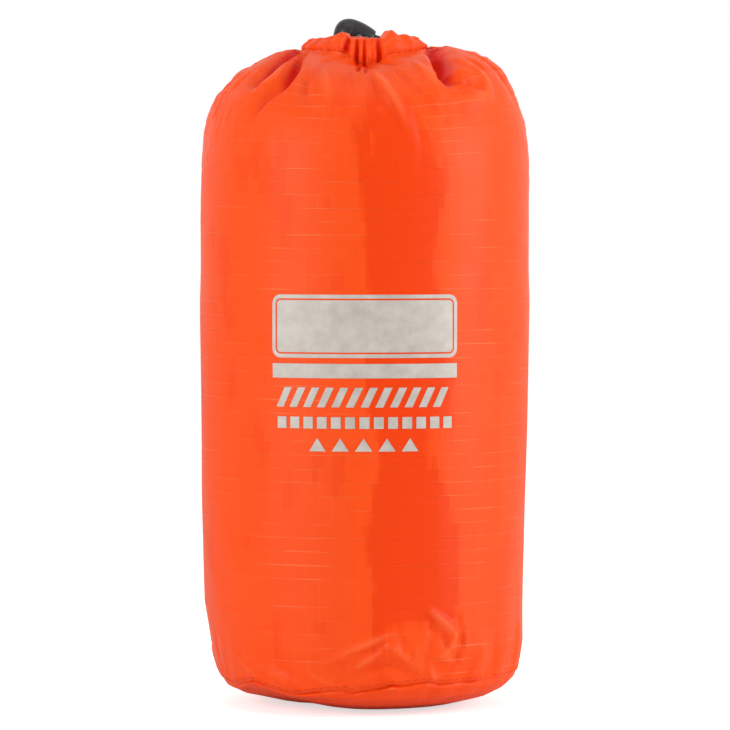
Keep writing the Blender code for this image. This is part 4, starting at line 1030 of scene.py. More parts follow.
def coated_ripstop(name, base, light, deep, strip, seam_at, seed):
    """PU-coated ripstop: satin, with a raised double yarn every 5 mm each way.

    Its colour is deeper in random patches and in one strip of painted shade; strip gives that
    strip, as its middle along the cloth, half width, lower end and upper end in mm. The felled seam
    lies seam_at mm along the cloth. The mesh's own shade_and_highlight_mm, in mm, says where the
    cloth stands out, which gets painted highlight, and where it is pressed into a fold, which gets
    painted shade.
    """
    finish, tree, shader = new_finish(name, base, 0.42)
    place = add_node(tree, "ShaderNodeTexCoord")
    cloth_mm = add_node(tree, "ShaderNodeMapping", None, {
        "Vector": place.outputs["UV"], "Scale": (1000.0, 1000.0, 1.0)})
    axes = add_node(tree, "ShaderNodeSeparateXYZ", None, {"Vector": cloth_mm})
    across, upwards = axes.outputs["X"], axes.outputs["Y"]
    yarns = []
    for axis, stretch, strength in ((upwards, (0.05, 0.9, 1.0), 1.0),
                                    (across, (0.9, 0.05, 1.0), 0.2)):
        # distance in mm from the nearest ripstop yarn
        off = add_node(tree, "ShaderNodeMath", {"operation": "PINGPONG"}, (axis, 2.5))
        line = add_node(tree, "ShaderNodeMapRange", {"interpolation_type": "SMOOTHSTEP"}, {
            "Value": off, "From Min": 0.10, "From Max": 0.42, "To Min": strength, "To Max": 0.0})
        # the yarn shows in broken lengths, where the coating and the light let it
        drawn = add_node(tree, "ShaderNodeMapping", None, {
            "Vector": cloth_mm, "Scale": stretch, "Location": (seed, seed * 2, 0.0)})
        patchy = add_node(tree, "ShaderNodeTexNoise", None, {
            "Vector": drawn, "Scale": 1.0, "Detail": 2.0})
        shown = add_node(tree, "ShaderNodeMapRange", None, {
            "Value": patchy, "From Min": 0.46, "From Max": 0.60})
        yarns.append(add_node(tree, "ShaderNodeMath", {"operation": "MULTIPLY"}, (line, shown)))
    grid_lines = add_node(tree, "ShaderNodeMath", {"operation": "MAXIMUM"}, yarns)
    # plain weave: 0.25 mm in the real cloth, drawn at 0.5 mm so that it shows close up
    threads = add_node(tree, "ShaderNodeMath", {"operation": "MULTIPLY"}, [
        add_node(tree, "ShaderNodeTexWave", {"bands_direction": direction}, {
            "Vector": cloth_mm, "Scale": 0.64, "Distortion": 0.3}).outputs["Fac"]
        for direction in "XY"])
    cloud = add_node(tree, "ShaderNodeTexNoise", None, {
        "Vector": cloth_mm, "Scale": 0.045, "Detail": 4.0})
    tone, rough = (add_node(tree, "ShaderNodeMapRange", None, {
        "Value": cloud, "From Min": 0.3, "From Max": 0.7, "To Min": low, "To Max": high})
        for low, high in ((0.0, 0.22), (0.36, 0.46)))
    # patches of deeper colour end in steps, along the ripstop yarns
    cells = add_node(tree, "ShaderNodeVectorMath", {"operation": "SNAP"}, (
        cloth_mm, (2.5, 5.0, 5.0)))
    tall_cells = add_node(tree, "ShaderNodeMapping", None, {
        "Vector": cells, "Scale": (1.0, 0.38, 1.0), "Location": (seed * 3, seed, 0.0)})
    wander = add_node(tree, "ShaderNodeTexNoise", None, {
        "Vector": tall_cells, "Scale": 0.075, "Detail": 3.0})
    middle, half_width, low_end, high_end = strip
    # the strip leans a little, and its edges and ends wander
    leaning = add_node(tree, "ShaderNodeMath", {"operation": "MULTIPLY_ADD"}, (
        upwards, 0.036, across))
    from_strip = add_node(tree, "ShaderNodeMath", {"operation": "SUBTRACT"}, (leaning, middle))
    from_strip = add_node(tree, "ShaderNodeMath", {"operation": "ABSOLUTE"}, (from_strip,))
    off_strip, up_strip = (add_node(tree, "ShaderNodeMath", {"operation": "MULTIPLY_ADD"}, (
        wander, reach, measure)) for reach, measure in ((-40.0, from_strip), (60.0, upwards)))
    # the yarns' painted highlight is strongest in upright bands 69 mm apart
    from_band = add_node(tree, "ShaderNodeMath", {"operation": "SUBTRACT"}, (across, 70.9))
    from_band = add_node(tree, "ShaderNodeMath", {"operation": "PINGPONG"}, (from_band, 34.5))
    # the felled seam's two folded edges lie to each side of its middle
    from_seam = add_node(tree, "ShaderNodeMath", {"operation": "SUBTRACT"}, (across, seam_at))
    from_seam = add_node(tree, "ShaderNodeMath", {"operation": "ABSOLUTE"}, (from_seam,))
    from_lap = add_node(tree, "ShaderNodeMath", {"operation": "SUBTRACT"}, (from_seam, LAP_EDGE))
    from_lap = add_node(tree, "ShaderNodeMath", {"operation": "ABSOLUTE"}, (from_lap,))
    painted_relief = add_node(tree, "ShaderNodeAttribute", {"attribute_name": "shade_and_highlight_mm"})
    painted_relief = painted_relief.outputs["Fac"]
    # each mask goes smoothly from one level to another over a span of its measure
    masks = {}
    for mask, measure, low, high, start, end in (
            ("painted_shade_band", off_strip, half_width - 22.5, half_width - 17.0, 1.0, 0.0),
            ("over_foot", up_strip, low_end + 26.0, low_end + 36.0, 0.0, 1.0),
            ("under_head", up_strip, high_end + 24.0, high_end + 38.0, 1.0, 0.0),
            ("patch", wander, 0.56, 0.66, 0.0, 0.45),
            ("yarn_glint_band", from_band, 8.0, 16.0, 1.0, 0.3),
            # lifted: painted highlight where the cloth stands out; pressed: painted shade deep in
            # the folds
            ("lifted", painted_relief, 0.15, 1.3, 0.0, 0.36),
            ("pressed", painted_relief, -4.4, -0.4, 0.92, 0.0),
            ("lap_edge", from_lap, 0.12, 0.45, 0.6, 0.0),
            ("near_seam", from_seam, 4.0, 11.0, 1.0, 0.0)):
        masks[mask] = add_node(tree, "ShaderNodeMapRange", {"interpolation_type": "SMOOTHSTEP"}, {
            "Value": measure, "From Min": low, "From Max": high, "To Min": start, "To Max": end})
    ends = add_node(tree, "ShaderNodeMath", {"operation": "MULTIPLY"}, (
        masks["over_foot"], masks["under_head"]))
    painted_shade_band = add_node(tree, "ShaderNodeMath", {"operation": "MULTIPLY"}, (
        masks["painted_shade_band"], ends))
    # painted shade: the deeper strip, joined with deeper patches at random
    shade_band_and_patches = add_node(tree, "ShaderNodeMath", {"operation": "MAXIMUM"}, (
        painted_shade_band, masks["patch"]))
    # the raised yarns are drawn lighter in colour, partly their own look and partly painted
    # highlight; it is weakest on the painted shade strip and the deeper patches
    yarn_highlight = add_node(tree, "ShaderNodeMapRange", None, {
        "Value": shade_band_and_patches, "To Min": 0.34, "To Max": 0.05})
    for mask in (grid_lines, masks["yarn_glint_band"]):
        yarn_highlight = add_node(tree, "ShaderNodeMath", {"operation": "MULTIPLY"}, (mask, yarn_highlight))
    # colour: random tone, painted shade in the strip and deeper patches, painted highlight on the
    # yarns and on ridges, painted shade in folds, and the seam's darker folded edges
    colour = linear(base)
    for mask, tint in ((tone, light), (shade_band_and_patches, deep), (yarn_highlight, "ff8f5e"),
                       (masks["lifted"], "ff7a46"), (masks["pressed"], "dc1503"),
                       (masks["lap_edge"], "b8330a")):
        colour = add_node(tree, "ShaderNodeMix", {"data_type": "RGBA"}, {
            0: mask, 6: colour, 7: linear(tint)})
    # small crumples that the coating keeps from being packed, 3 to 12 mm long
    crumple = add_node(tree, "ShaderNodeTexNoise", {"noise_type": "RIDGED_MULTIFRACTAL"}, {
        "Vector": cloth_mm, "Scale": 0.07, "Detail": 3.0, "Roughness": 0.5})
    # the stitches draw the cloth into puckers along the seam, 3 to 5 mm apart
    along_seam = add_node(tree, "ShaderNodeMapping", None, {
        "Vector": cloth_mm, "Scale": (0.07, 0.30, 1.0)})
    puckers = add_node(tree, "ShaderNodeTexNoise", None, {
        "Vector": along_seam, "Scale": 1.0, "Detail": 1.0})
    drawn_up = add_node(tree, "ShaderNodeMath", {"operation": "MULTIPLY"}, (
        puckers, masks["near_seam"]))
    relief = {}
    for height, strength, distance in ((crumple, 0.22, 0.0004), (threads, 0.30, 0.00004),
                                       (grid_lines, 0.75, 0.00014), (drawn_up, 0.8, 0.0012)):
        relief = {"Normal": add_node(tree, "ShaderNodeBump", None, {
            "Height": height, "Strength": strength, "Distance": distance, **relief})}
    feed(shader, {"Base Color": colour, "Roughness": rough, "Specular IOR Level": 0.13, **relief})
    return finish


def hem_tuck(angle):
    """One narrow tuck that the drawn cord leaves in the hem's left puff, from 0 to 1."""
    return hump(angle, -108.5, 2.4)


def hem_rows(stitch_row):
    """The folded hem: up outside from the stitches, over the cord's rim and down inside."""
    rim_table = np.array(HEM_RIM)
    angle, radius = azimuth_radius(stitch_row)
    rim = 0.001 * np.interp(angle, rim_table[:, 0], rim_table[:, 1], period=360)
    pleat = ramp(radius, 0.0202, 0.0036)
    flutter = ripple(angle, 0.0, 31, 22, 0, 9)
    rim = rim + RIM_WAVE * flutter - 0.0005 * (1 - pleat)
    rim = np.maximum(rim, MOUTH_CORD_HEIGHT + CORD_DIAMETER / 2 + CORD_ROOM)
    even_pleat = sum(np.roll(pleat, shift) for shift in range(-2, 3)) / 5
    inner = INNER_RADIUS - 0.0022 * even_pleat + 0.0003 * ripple(angle, 0.0, 32, 15, 0, 8)
    # the hem leans in towards the mouth, least at the back, where the cord comes out
    draw_in = (0.0027 - 0.0019 * hump(angle, 88, 32.0, 4)) * (0.31 + 0.69 * pleat)
    tuck = hem_tuck(angle)
    rows = []
    foot = stitch_row[:, 2]
    for share in (0.10, 0.22, 0.36, 0.52, 0.68, 0.82, 0.93):
        bulge = HEM_SWELL * math.sin(math.pi * min(share * 1.25, 1.0)) * (0.35 + pleat)
        bulge = bulge - draw_in * share - HEM_TUCK * tuck * math.sin(math.pi * share ** 1.4)
        lean = 0.0006 * flutter * share
        rows.append((radius + bulge + lean, foot + (rim - foot) * share))
    # over the rim, where the cloth is folded
    outer = rows[-1][0]
    fold_in = outer - RIM_INSET
    rows += [(outer - 0.0007, rim - 0.0001), (fold_in, rim + 0.0002)]
    for share in (0.35, 0.75):
        rows.append((fold_in + (inner - fold_in) * share,
                     rim + 0.0001 - 0.0005 * share + 0.0002 * flutter))
    for share in (0.12, 0.32, 0.56, 0.80, 1.0):
        rows.append((inner + 0.0003 * math.sin(math.pi * share),
                     rim - 0.0006 + (foot - 0.002 - rim) * share))
    # the raw edge turned under, back against the shoulder
    rows.append((inner + RAW_EDGE[0], foot - RAW_EDGE[1]))
    return np.stack([round_points(np.radians(angle), r, z) for r, z in rows])


shoulder = shoulder_start()
keep = eased(ramp(np.linspace(0, 1, len(shoulder)), 0, 0.40))[:, None, None]
shoulder = shoulder * (1 - keep) + settle_cloth(shoulder) * keep
# the settled cloth keeps small swells and dents
shoulder = shoulder - outward_from(shoulder, 2) * fold_depth(
    *azimuth_radius(shoulder), SHOULDER_DENTS)[..., None]
columns_angle = np.arange(AROUND) * 360.0 / AROUND - 180.0
# rows of the wall, in metres over the base seam: close together at the seam and its wrinkles
climb = np.concatenate([(0, 0.0006, 0.0013, 0.0021, 0.003, 0.004, 0.0052, 0.0066, 0.0082, 0.01),
                        np.linspace(0.0112, 0.045, 30), np.linspace(0.0475, 0.1535, 42)])
climb = climb / climb[-1]
wall_foot = seam_height(columns_angle)[None, :]
wall_height = wall_foot + (SHOULDER_START - wall_foot) * climb[:, None]
wall_angle = np.broadcast_to(columns_angle[None, :], wall_height.shape)
wall_r = wall_radius(wall_angle, wall_height)
# the wall runs into the shoulder's first row
join_in = ramp(wall_height, 0.150, 0.015) ** 2
wall_r = wall_r * (1 - join_in) + azimuth_radius(shoulder[0])[1][None, :] * join_in
wall = round_points(np.radians(wall_angle), wall_r, wall_height)
wall_top = len(wall) - 1
panel_grid = refine(np.concatenate([wall[:-1], shoulder, hem_rows(shoulder[-1])]), 1, True)
panel_grid = np.concatenate([panel_grid[:wall_top], refine(panel_grid[wall_top:], 0, False)])
stitch_row = wall_top + 2 * (len(shoulder) - 1)
stitch_azimuth, _ = azimuth_radius(panel_grid[stitch_row])
# felled seam up the back: four layers in a flat band
seam_column = int(np.argmin(np.abs(stitch_azimuth - EXIT_AZIMUTH)))
seam_off = np.abs(np.arange(panel_grid.shape[1]) - seam_column) * CLOTH_WIDTH / panel_grid.shape[1]
seam_band = np.clip((BACK_SEAM_HALF_WIDTH - seam_off) / BACK_SEAM_EDGE, 0, 1)
off_cloth = outward_from(panel_grid, 1)
panel_rows = np.arange(len(panel_grid))
band_rows = ramp(panel_rows, 0, 6) * (panel_rows <= stitch_row)
band = band_rows[:, None] * seam_band[None, :]
panel_grid = panel_grid + off_cloth * SEAM_LAYERS * band[..., None]
steps = np.linalg.norm(np.diff(panel_grid, axis=0), axis=2).mean(axis=1)
cloth_run = np.concatenate([[0], np.cumsum(steps)])
# the wall's yarns run level, so the cloth's own height there is the place's height over the seam
cloth_up = panel_grid[:, :, 2] - SEAM_LEVEL
over_wall = cloth_run[wall_top:] - cloth_run[wall_top]
cloth_up[wall_top:] = SHOULDER_START - SEAM_LEVEL + over_wall[:, None]
cloth_across = np.linspace(0, CLOTH_WIDTH, panel_grid.shape[1] + 1)
ripstop = coated_ripstop("pu_coated_ripstop_nylon", "f34d12", "f65a22", "ea3f06",
                         PAINTED_SHADE_STRIP, 1000 * float(cloth_across[seam_column]), 3.0)
side_panel = add_piece("sack_side_cloth", panel_grid.reshape(-1, 3),
                       ring_quads(*panel_grid.shape[:2]), ripstop, ring_uv(cloth_across, cloth_up))
# how far the cloth stands off the roll, in mm, less than 0 in a fold; it sets painted highlight on
# ridges and painted shade in folds
panel_angle, panel_radius = azimuth_radius(panel_grid)
shade_and_highlight_mm = -1000 * wall_folds_depth(panel_angle, panel_grid[..., 2])
over_shoulder = slice(wall_top, stitch_row + 1)
shade_and_highlight_mm[over_shoulder] = -1000 * fold_depth(
    panel_angle[over_shoulder], panel_radius[over_shoulder],
    SHOULDER_FOLDS + SHOULDER_DENTS + SHOULDER_CREASE_SHADE)
# painted shade in the hem's pleats, deeper where the stitches are drawn in, and in its tuck
shade_and_highlight_mm[stitch_row + 1:] = -900 * (STITCH_RADIUS - panel_radius[stitch_row])[None, :]
shade_and_highlight_mm[stitch_row + 3:stitch_row + 7] -= 3.4 * hem_tuck(panel_angle[stitch_row])[None, :]
shade_and_highlight_mm[stitch_row + HEM_OUTSIDE:] = 0.0
told = side_panel.data.attributes.new("shade_and_highlight_mm", "FLOAT", "POINT")
told.data.foreach_set("value", shade_and_highlight_mm.ravel().astype(np.float32))
# the hem's two ends stand open over the back seam, where the cord comes out
middles = (panel_grid[:-1] + np.roll(panel_grid, -1, axis=1)[:-1]
           + panel_grid[1:] + np.roll(panel_grid, -1, axis=1)[1:]) / 4
exit_hole = ((np.abs(azimuth_radius(middles)[0] - EXIT_AZIMUTH) < EXIT_HALF_WIDTH)
             & (middles[:, :, 2] > EXIT_FOOT))
exit_hole[:stitch_row + 2] = False
exit_hole[stitch_row + HEM_INSIDE:] = False


def open_exit(shape):
    """Takes out the hem's faces between its two open ends."""
    shape.faces.ensure_lookup_table()
    gone = [shape.faces[index] for index in np.flatnonzero(exit_hole.ravel())]
    bmesh.ops.delete(shape, geom=gone, context="FACES")


reshape(side_panel, open_exit)
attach(side_panel, "sack")
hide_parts("sack_side_panel")


# Sack, base panel
# A round of the same ripstop, eased to the tube with one row of stitches.
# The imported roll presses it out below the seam, so it stands on the middle of its underside.
BASE_ROWS = 40
BASE_CLOTH = 0.0003              # height of the cloth's middle where it lies on the ground
base_angle = np.arange(2 * AROUND) * 360.0 / (2 * AROUND) - 180.0
base_turn = np.radians(base_angle)
seam_z = seam_height(base_angle)
# the cloth stands off the floor at the left of the front
lifted = 0.0022 * hump(base_angle, -135, 26.0)
base_rows = []
for row in range(BASE_ROWS):
    share = row / (BASE_ROWS - 1)
    height = BASE_CLOTH + (seam_z - BASE_CLOTH) * (1 - share) ** 1.6
    radius = outline_radius(base_angle, height)
    under = seam_z - height
    pucker = (0.00045 * ripple(base_angle, 0.0, *SEAM_PUCKERS)
              + 0.0002 * ripple(base_angle, under, 41, 60, 200, 10))
    radius += pucker * np.exp(-under / 0.006) * ramp(under, 0, 0.0008)
    pulled_in = 0.0002 + 0.0013 * hump(base_angle, *SEAM_FRONT)
    radius -= pulled_in * np.exp(-(under / SEAM_GROOVE) ** 2)
    height = height + lifted * ramp(radius, 0.010, 0.030) * ramp(under, 0, 0.004)
    base_rows.append(round_points(base_turn, radius, height))
flat_radius = azimuth_radius(base_rows[-1])[1]
for share in (0.8, 0.6, 0.4, 0.2, 0.08):
    base_rows.append(round_points(base_turn, share * flat_radius,
                                  BASE_CLOTH + lifted * ramp(share * flat_radius, 0.010, 0.030)))
base_grid = np.stack(base_rows)[::-1]
base_points = base_grid.reshape(-1, 3)
base_faces = ring_quads(*base_grid.shape[:2]) + [tuple(range(base_grid.shape[1] - 1, -1, -1))]
base_uv = [base_points[corner, :2] for face in base_faces for corner in face]
base_panel = add_piece("sack_base_cloth", base_points, base_faces, ripstop, base_uv)
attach(base_panel, "sack")
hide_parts("sack_base_panel")


# Stitches
# Lockstitch in red polyester thread, 3 mm to a stitch: under the hem, up both edges of the back
# seam, and round the base. Each stitch lies half sunk in the cloth.
STITCH_PITCH = 0.003
STITCH_LENGTH = 0.0022
THREAD_RADIUS = 0.00022
BASE_STITCH_LENGTH = 0.0019      # the base seam has finer thread
BASE_THREAD_RADIUS = 0.00017
BACK_SEAM_COLUMNS = 3            # columns of cloth from the back seam's middle to its stitches
BACK_THREAD_OUT = 0.00008        # how far a row of stitches lies off the cloth
BASE_THREAD_OUT = 0.00005
BASE_THREAD_UP = 0.0016          # from the seam to its row of stitches
HEM_THREAD_OUT = 1.004           # the hem's stitches lie this share further out than the cloth


def stitch_tree():
    """Geometry nodes that lay stitches of a given length and pitch along a line."""
    tree = bpy.data.node_groups.new("lockstitch", "GeometryNodeTree")
    geometry, size, material = "NodeSocketGeometry", "NodeSocketFloat", "NodeSocketMaterial"
    for label, way, kind in (("Geometry", "INPUT", geometry), ("Stitch pitch", "INPUT", size),
                             ("Stitch length", "INPUT", size), ("Thread radius", "INPUT", size),
                             ("Thread", "INPUT", material), ("Geometry", "OUTPUT", geometry)):
        tree.interface.new_socket(label, in_out=way, socket_type=kind)
    given = add_node(tree, "NodeGroupInput").outputs
    line = add_node(tree, "GeometryNodeMeshToCurve", None, {"Mesh": given["Geometry"]})
    points = add_node(tree, "GeometryNodeResampleCurve", {"mode": "LENGTH"}, {
        "Curve": line, "Length": given["Stitch pitch"]})
    tangent = add_node(tree, "GeometryNodeInputTangent")
    turned = add_node(tree, "FunctionNodeAlignRotationToVector", {"axis": "Z"}, {"Vector": tangent})
    half = add_node(tree, "ShaderNodeMath", {"operation": "MULTIPLY"}, (
        given["Stitch length"], 0.5))
    size = add_node(tree, "ShaderNodeCombineXYZ", None, {
        "X": given["Thread radius"], "Y": given["Thread radius"], "Z": half})
    bead = add_node(tree, "GeometryNodeMeshUVSphere", None, {
        "Segments": 8, "Rings": 6, "Radius": 1.0})
    laid = add_node(tree, "GeometryNodeInstanceOnPoints", None, {
        "Points": points, "Instance": bead, "Rotation": turned, "Scale": size})
    real = add_node(tree, "GeometryNodeRealizeInstances", None, {"Geometry": laid})
    dyed = add_node(tree, "GeometryNodeSetMaterial", None, {
        "Geometry": real, "Material": given["Thread"]})
    add_node(tree, "NodeGroupOutput", None, {"Geometry": dyed})
    return tree


def twisted_thread():
    """Twisted polyester thread: soft and matt, with the twist's shadow along it."""
    finish, tree, shader = new_finish("twisted_polyester_thread", "dc3c10", 0.8)
    place = add_node(tree, "ShaderNodeTexCoord")
    twist = add_node(tree, "ShaderNodeTexWave", {"bands_direction": "DIAGONAL"}, {
        "Vector": place.outputs["Object"], "Scale": 1400.0, "Distortion": 1.0}).outputs["Fac"]
    tone = add_node(tree, "ShaderNodeMix", {"data_type": "RGBA"}, {
        0: twist, 6: linear("c93209"), 7: linear("e94a18")})
    relief = add_node(tree, "ShaderNodeBump", None, {
        "Height": twist, "Strength": 0.5, "Distance": 0.00005})
    feed(shader, {"Base Color": tone, "Normal": relief, "Specular IOR Level": 0.2})
    return finish


lockstitch = stitch_tree()
thread_finish = twisted_thread()


def sew(name, line, closed, length=STITCH_LENGTH, radius=THREAD_RADIUS):
    """A row of stitches along a line of points."""
    mesh = bpy.data.meshes.new(name)
    edges = [(i, i + 1) for i in range(len(line) - 1)]
    if closed:
        edges.append((len(line) - 1, 0))
    mesh.from_pydata(np.asarray(line).tolist(), edges, [])
    row = place_object(name, mesh)
    sewing = row.modifiers.new("sewing", "NODES")
    sewing.node_group = lockstitch
    sizes = {"Stitch pitch": STITCH_PITCH, "Stitch length": length, "Thread radius": radius,
             "Thread": thread_finish}
    for item in lockstitch.interface.items_tree:
        if item.name in sizes:
            sewing[item.identifier] = sizes[item.name]
    take_modifiers(row)
    row.data.polygons.foreach_set("use_smooth", [True] * len(row.data.polygons))
    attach(row, "sack")


sew("hem_stitches", panel_grid[stitch_row] * np.array([HEM_THREAD_OUT, HEM_THREAD_OUT, 1.0]), True)
seam_rows = slice(8, stitch_row - 2)
for seam_side, column in (("left", seam_column - BACK_SEAM_COLUMNS),
                          ("right", seam_column + BACK_SEAM_COLUMNS)):
    seam_line = panel_grid[seam_rows, column] + off_cloth[seam_rows, column] * BACK_THREAD_OUT
    sew("back_seam_stitches_" + seam_side, seam_line, False)
base_line_height = seam_z + BASE_THREAD_UP
base_line_radius = wall_radius(base_angle, base_line_height) + BASE_THREAD_OUT
sew("base_seam_stitches", round_points(base_turn, base_line_radius, base_line_height), True,
    BASE_STITCH_LENGTH, BASE_THREAD_RADIUS)


# Print
# Silver foil, heat-pressed on the front with a hot plate: a bare plate with a keyline round it,
# a plain bar, and rows of slanted stripes, blocks and small tents.
PRINT_RADIUS = 0.0613            # the wall's radius where the print lies, to wrap it unstretched
FOIL_LIFT = 0.00012
# sizes of the print, all in mm: places across from the middle, heights from the ground
LEFT, RIGHT, LOW, HIGH = -35.1, 34.9, 131.3, 154.1
BORDER = 1.4
BORDER_CORNER = 3.3
KEYLINE_CORNER = 2.0
PLATE_INSET = 2.0                # the border and a keyline of bare cloth inside it
PLATE_CORNER = 1.5
BAR = (124.0, 129.2)
# rows of small shapes: number, left end, pitch, width, then foot and top
STRIPES, STRIPE_LEFT, STRIPE_PITCH, STRIPE_WIDTH, STRIPE_ENDS = 12, -33.6, 5.33, 2.9, (113.5, 120.6)
STRIPE_SLANT = 3.4
BLOCKS, BLOCK_LEFT, BLOCK_PITCH, BLOCK_WIDTH, BLOCK_ENDS = 13, -33.2, 5.2, 3.6, (105.8, 110.0)
TENTS, TENT_LEFT, TENT_PITCH, TENT_WIDTH, TENT_ENDS = 5, -20.6, 8.5, 6.2, (97.6, 97.65)
TENT_RISE = 4.7                  # from its low sides to its ridge


def on_wall(flat_x, height, lift):
    """Places on the front wall from flat coordinates of the print, in metres."""
    angle = -90.0 + np.degrees(flat_x / PRINT_RADIUS)
    return round_points(np.radians(angle), wall_radius(angle, height) + lift, height)


def pressed_foil():
    """Heat-pressed silver foil: dull metal with the cloth's grain, rubbed through in spots."""
    finish, tree, shader = new_finish("heat_pressed_silver_foil", "c0b8af", 0.58, 0.2)
    place = add_node(tree, "ShaderNodeTexCoord")
    flat_mm = add_node(tree, "ShaderNodeMapping", None, {
        "Vector": place.outputs["UV"], "Scale": (1000.0, 1000.0, 1.0)})
    crinkle = add_node(tree, "ShaderNodeTexNoise", {"noise_type": "RIDGED_MULTIFRACTAL"}, {
        "Vector": flat_mm, "Scale": 0.35, "Detail": 5.0, "Roughness": 0.62})
    cloud = add_node(tree, "ShaderNodeTexNoise", None, {
        "Vector": flat_mm, "Scale": 0.16, "Detail": 5.0, "Roughness": 0.6})
    worn = add_node(tree, "ShaderNodeTexNoise", None, {
        "Vector": flat_mm, "Scale": 1.7, "Detail": 6.0, "Roughness": 0.75})
    tone = add_node(tree, "ShaderNodeMapRange", None, {
        "Value": cloud, "From Min": 0.32, "From Max": 0.68})
    rubbed = add_node(tree, "ShaderNodeMapRange", None, {
        "Value": worn, "From Min": 0.66, "From Max": 0.74, "To Min": 0.0, "To Max": 0.5})
    rough = add_node(tree, "ShaderNodeMapRange", None, {
        "Value": cloud, "From Min": 0.3, "From Max": 0.7, "To Min": 0.50, "To Max": 0.66})
    colour = linear("b0a79e")
    for share, tint in ((tone, "c4bfb8"), (rubbed, "d9785a")):
        colour = add_node(tree, "ShaderNodeMix", {"data_type": "RGBA"}, {
            0: share, 6: colour, 7: linear(tint)})
    relief = {}
    for height, strength, distance in ((crinkle, 0.25, 0.00010), (worn, 0.3, 0.00004)):
        relief = {"Normal": add_node(tree, "ShaderNodeBump", None, {
            "Height": height, "Strength": strength, "Distance": distance, **relief})}
    feed(shader, {"Base Color": colour, "Roughness": rough, **relief})
    return finish


foil_points, foil_faces = [], []


def press_grid(columns_x, low, high, rows):
    """Foil over a row of places across; each may be one place, or one for every row."""
    start = len(foil_points)
    count = len(columns_x)
    low, high = np.broadcast_to(low, count), np.broadcast_to(high, count)
    for j in range(rows + 1):
        for i, x in enumerate(columns_x):
            z = low[i] + (high[i] - low[i]) * j / rows
            foil_points.append((x[j] if np.ndim(x) else x, z))
    for corner in (start + j * count + i for j in range(rows) for i in range(count - 1)):
        foil_faces.append((corner, corner + 1, corner + count + 1, corner + count))


def rounded_loop(inset, corner, per_corner=8, per_side=30):
    """Points round a rectangle with round corners, inset from the print's border, in mm."""
    points = []
    left, right, low, high = LEFT + inset, RIGHT - inset, LOW + inset, HIGH - inset
    corners = ((right - corner, high - corner, 0), (left + corner, high - corner, 90),
               (left + corner, low + corner, 180), (right - corner, low + corner, 270))
    for index, (x, z, start) in enumerate(corners):
        for i in range(per_corner + 1):
            turn = math.radians(start + 90 * i / per_corner)
            points.append((x + corner * math.cos(turn), z + corner * math.sin(turn)))
        next_x, next_z, next_start = corners[(index + 1) % 4]
        end_x = next_x + corner * math.cos(math.radians(next_start))
        end_z = next_z + corner * math.sin(math.radians(next_start))
        here_x, here_z = points[-1]
        sides = per_side if index % 2 == 0 else per_side // 3
        points += [(here_x + (end_x - here_x) * i / sides, here_z + (end_z - here_z) * i / sides)
                   for i in range(1, sides)]
    return points


# the border between two loops, then the plate inside it
loops = rounded_loop(0.0, BORDER_CORNER), rounded_loop(BORDER, KEYLINE_CORNER)
loop_size = len(loops[0])
foil_points += loops[0] + loops[1]
for i in range(loop_size):
    k = (i + 1) % loop_size
    foil_faces.append((i, k, loop_size + k, loop_size + i))
plate_left, plate_right = LEFT + PLATE_INSET, RIGHT - PLATE_INSET
corner_x = PLATE_CORNER * (1 - np.cos(np.linspace(0, math.pi / 2, 9)))
plate_x = np.unique(np.concatenate([
    plate_left + corner_x, plate_right - corner_x,
    np.linspace(plate_left + PLATE_CORNER, plate_right - PLATE_CORNER, 56)]))
inset = np.zeros_like(plate_x)
for index, x in enumerate(plate_x):
    edge = min(x - plate_left, plate_right - x)
    if edge < PLATE_CORNER:
        across = PLATE_CORNER - edge
        inset[index] = PLATE_CORNER - math.sqrt(max(PLATE_CORNER ** 2 - across ** 2, 0.0))
press_grid(plate_x, LOW + PLATE_INSET + inset, HIGH - PLATE_INSET - inset, 14)
press_grid(np.linspace(LEFT, RIGHT, 57), *BAR, 4)
for stripe in range(STRIPES):
    foot_x = STRIPE_LEFT + stripe * STRIPE_PITCH
    edges_x = [[foot_x + across + STRIPE_SLANT * j / 6 for j in range(7)]
               for across in np.linspace(0, STRIPE_WIDTH, 4)]
    press_grid(edges_x, *STRIPE_ENDS, 6)
for block in range(BLOCKS):
    foot_x = BLOCK_LEFT + block * BLOCK_PITCH
    press_grid(np.linspace(foot_x, foot_x + BLOCK_WIDTH, 5), *BLOCK_ENDS, 3)
for tent in range(TENTS):
    foot_x = TENT_LEFT + tent * TENT_PITCH
    tent_x = np.linspace(foot_x, foot_x + TENT_WIDTH, 9)
    slope = TENT_RISE * (1 - np.abs(tent_x - foot_x - TENT_WIDTH / 2) / (TENT_WIDTH / 2))
    press_grid(tent_x, TENT_ENDS[0], TENT_ENDS[1] + slope, 3)
foil_flat = np.array(foil_points) * 0.001
foil_uv = [foil_flat[corner] for face in foil_faces for corner in face]
foil_print = add_piece("foil_print", on_wall(foil_flat[:, 0], foil_flat[:, 1], FOIL_LIFT),
                       foil_faces, pressed_foil(), foil_uv)
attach(foil_print, "sack")


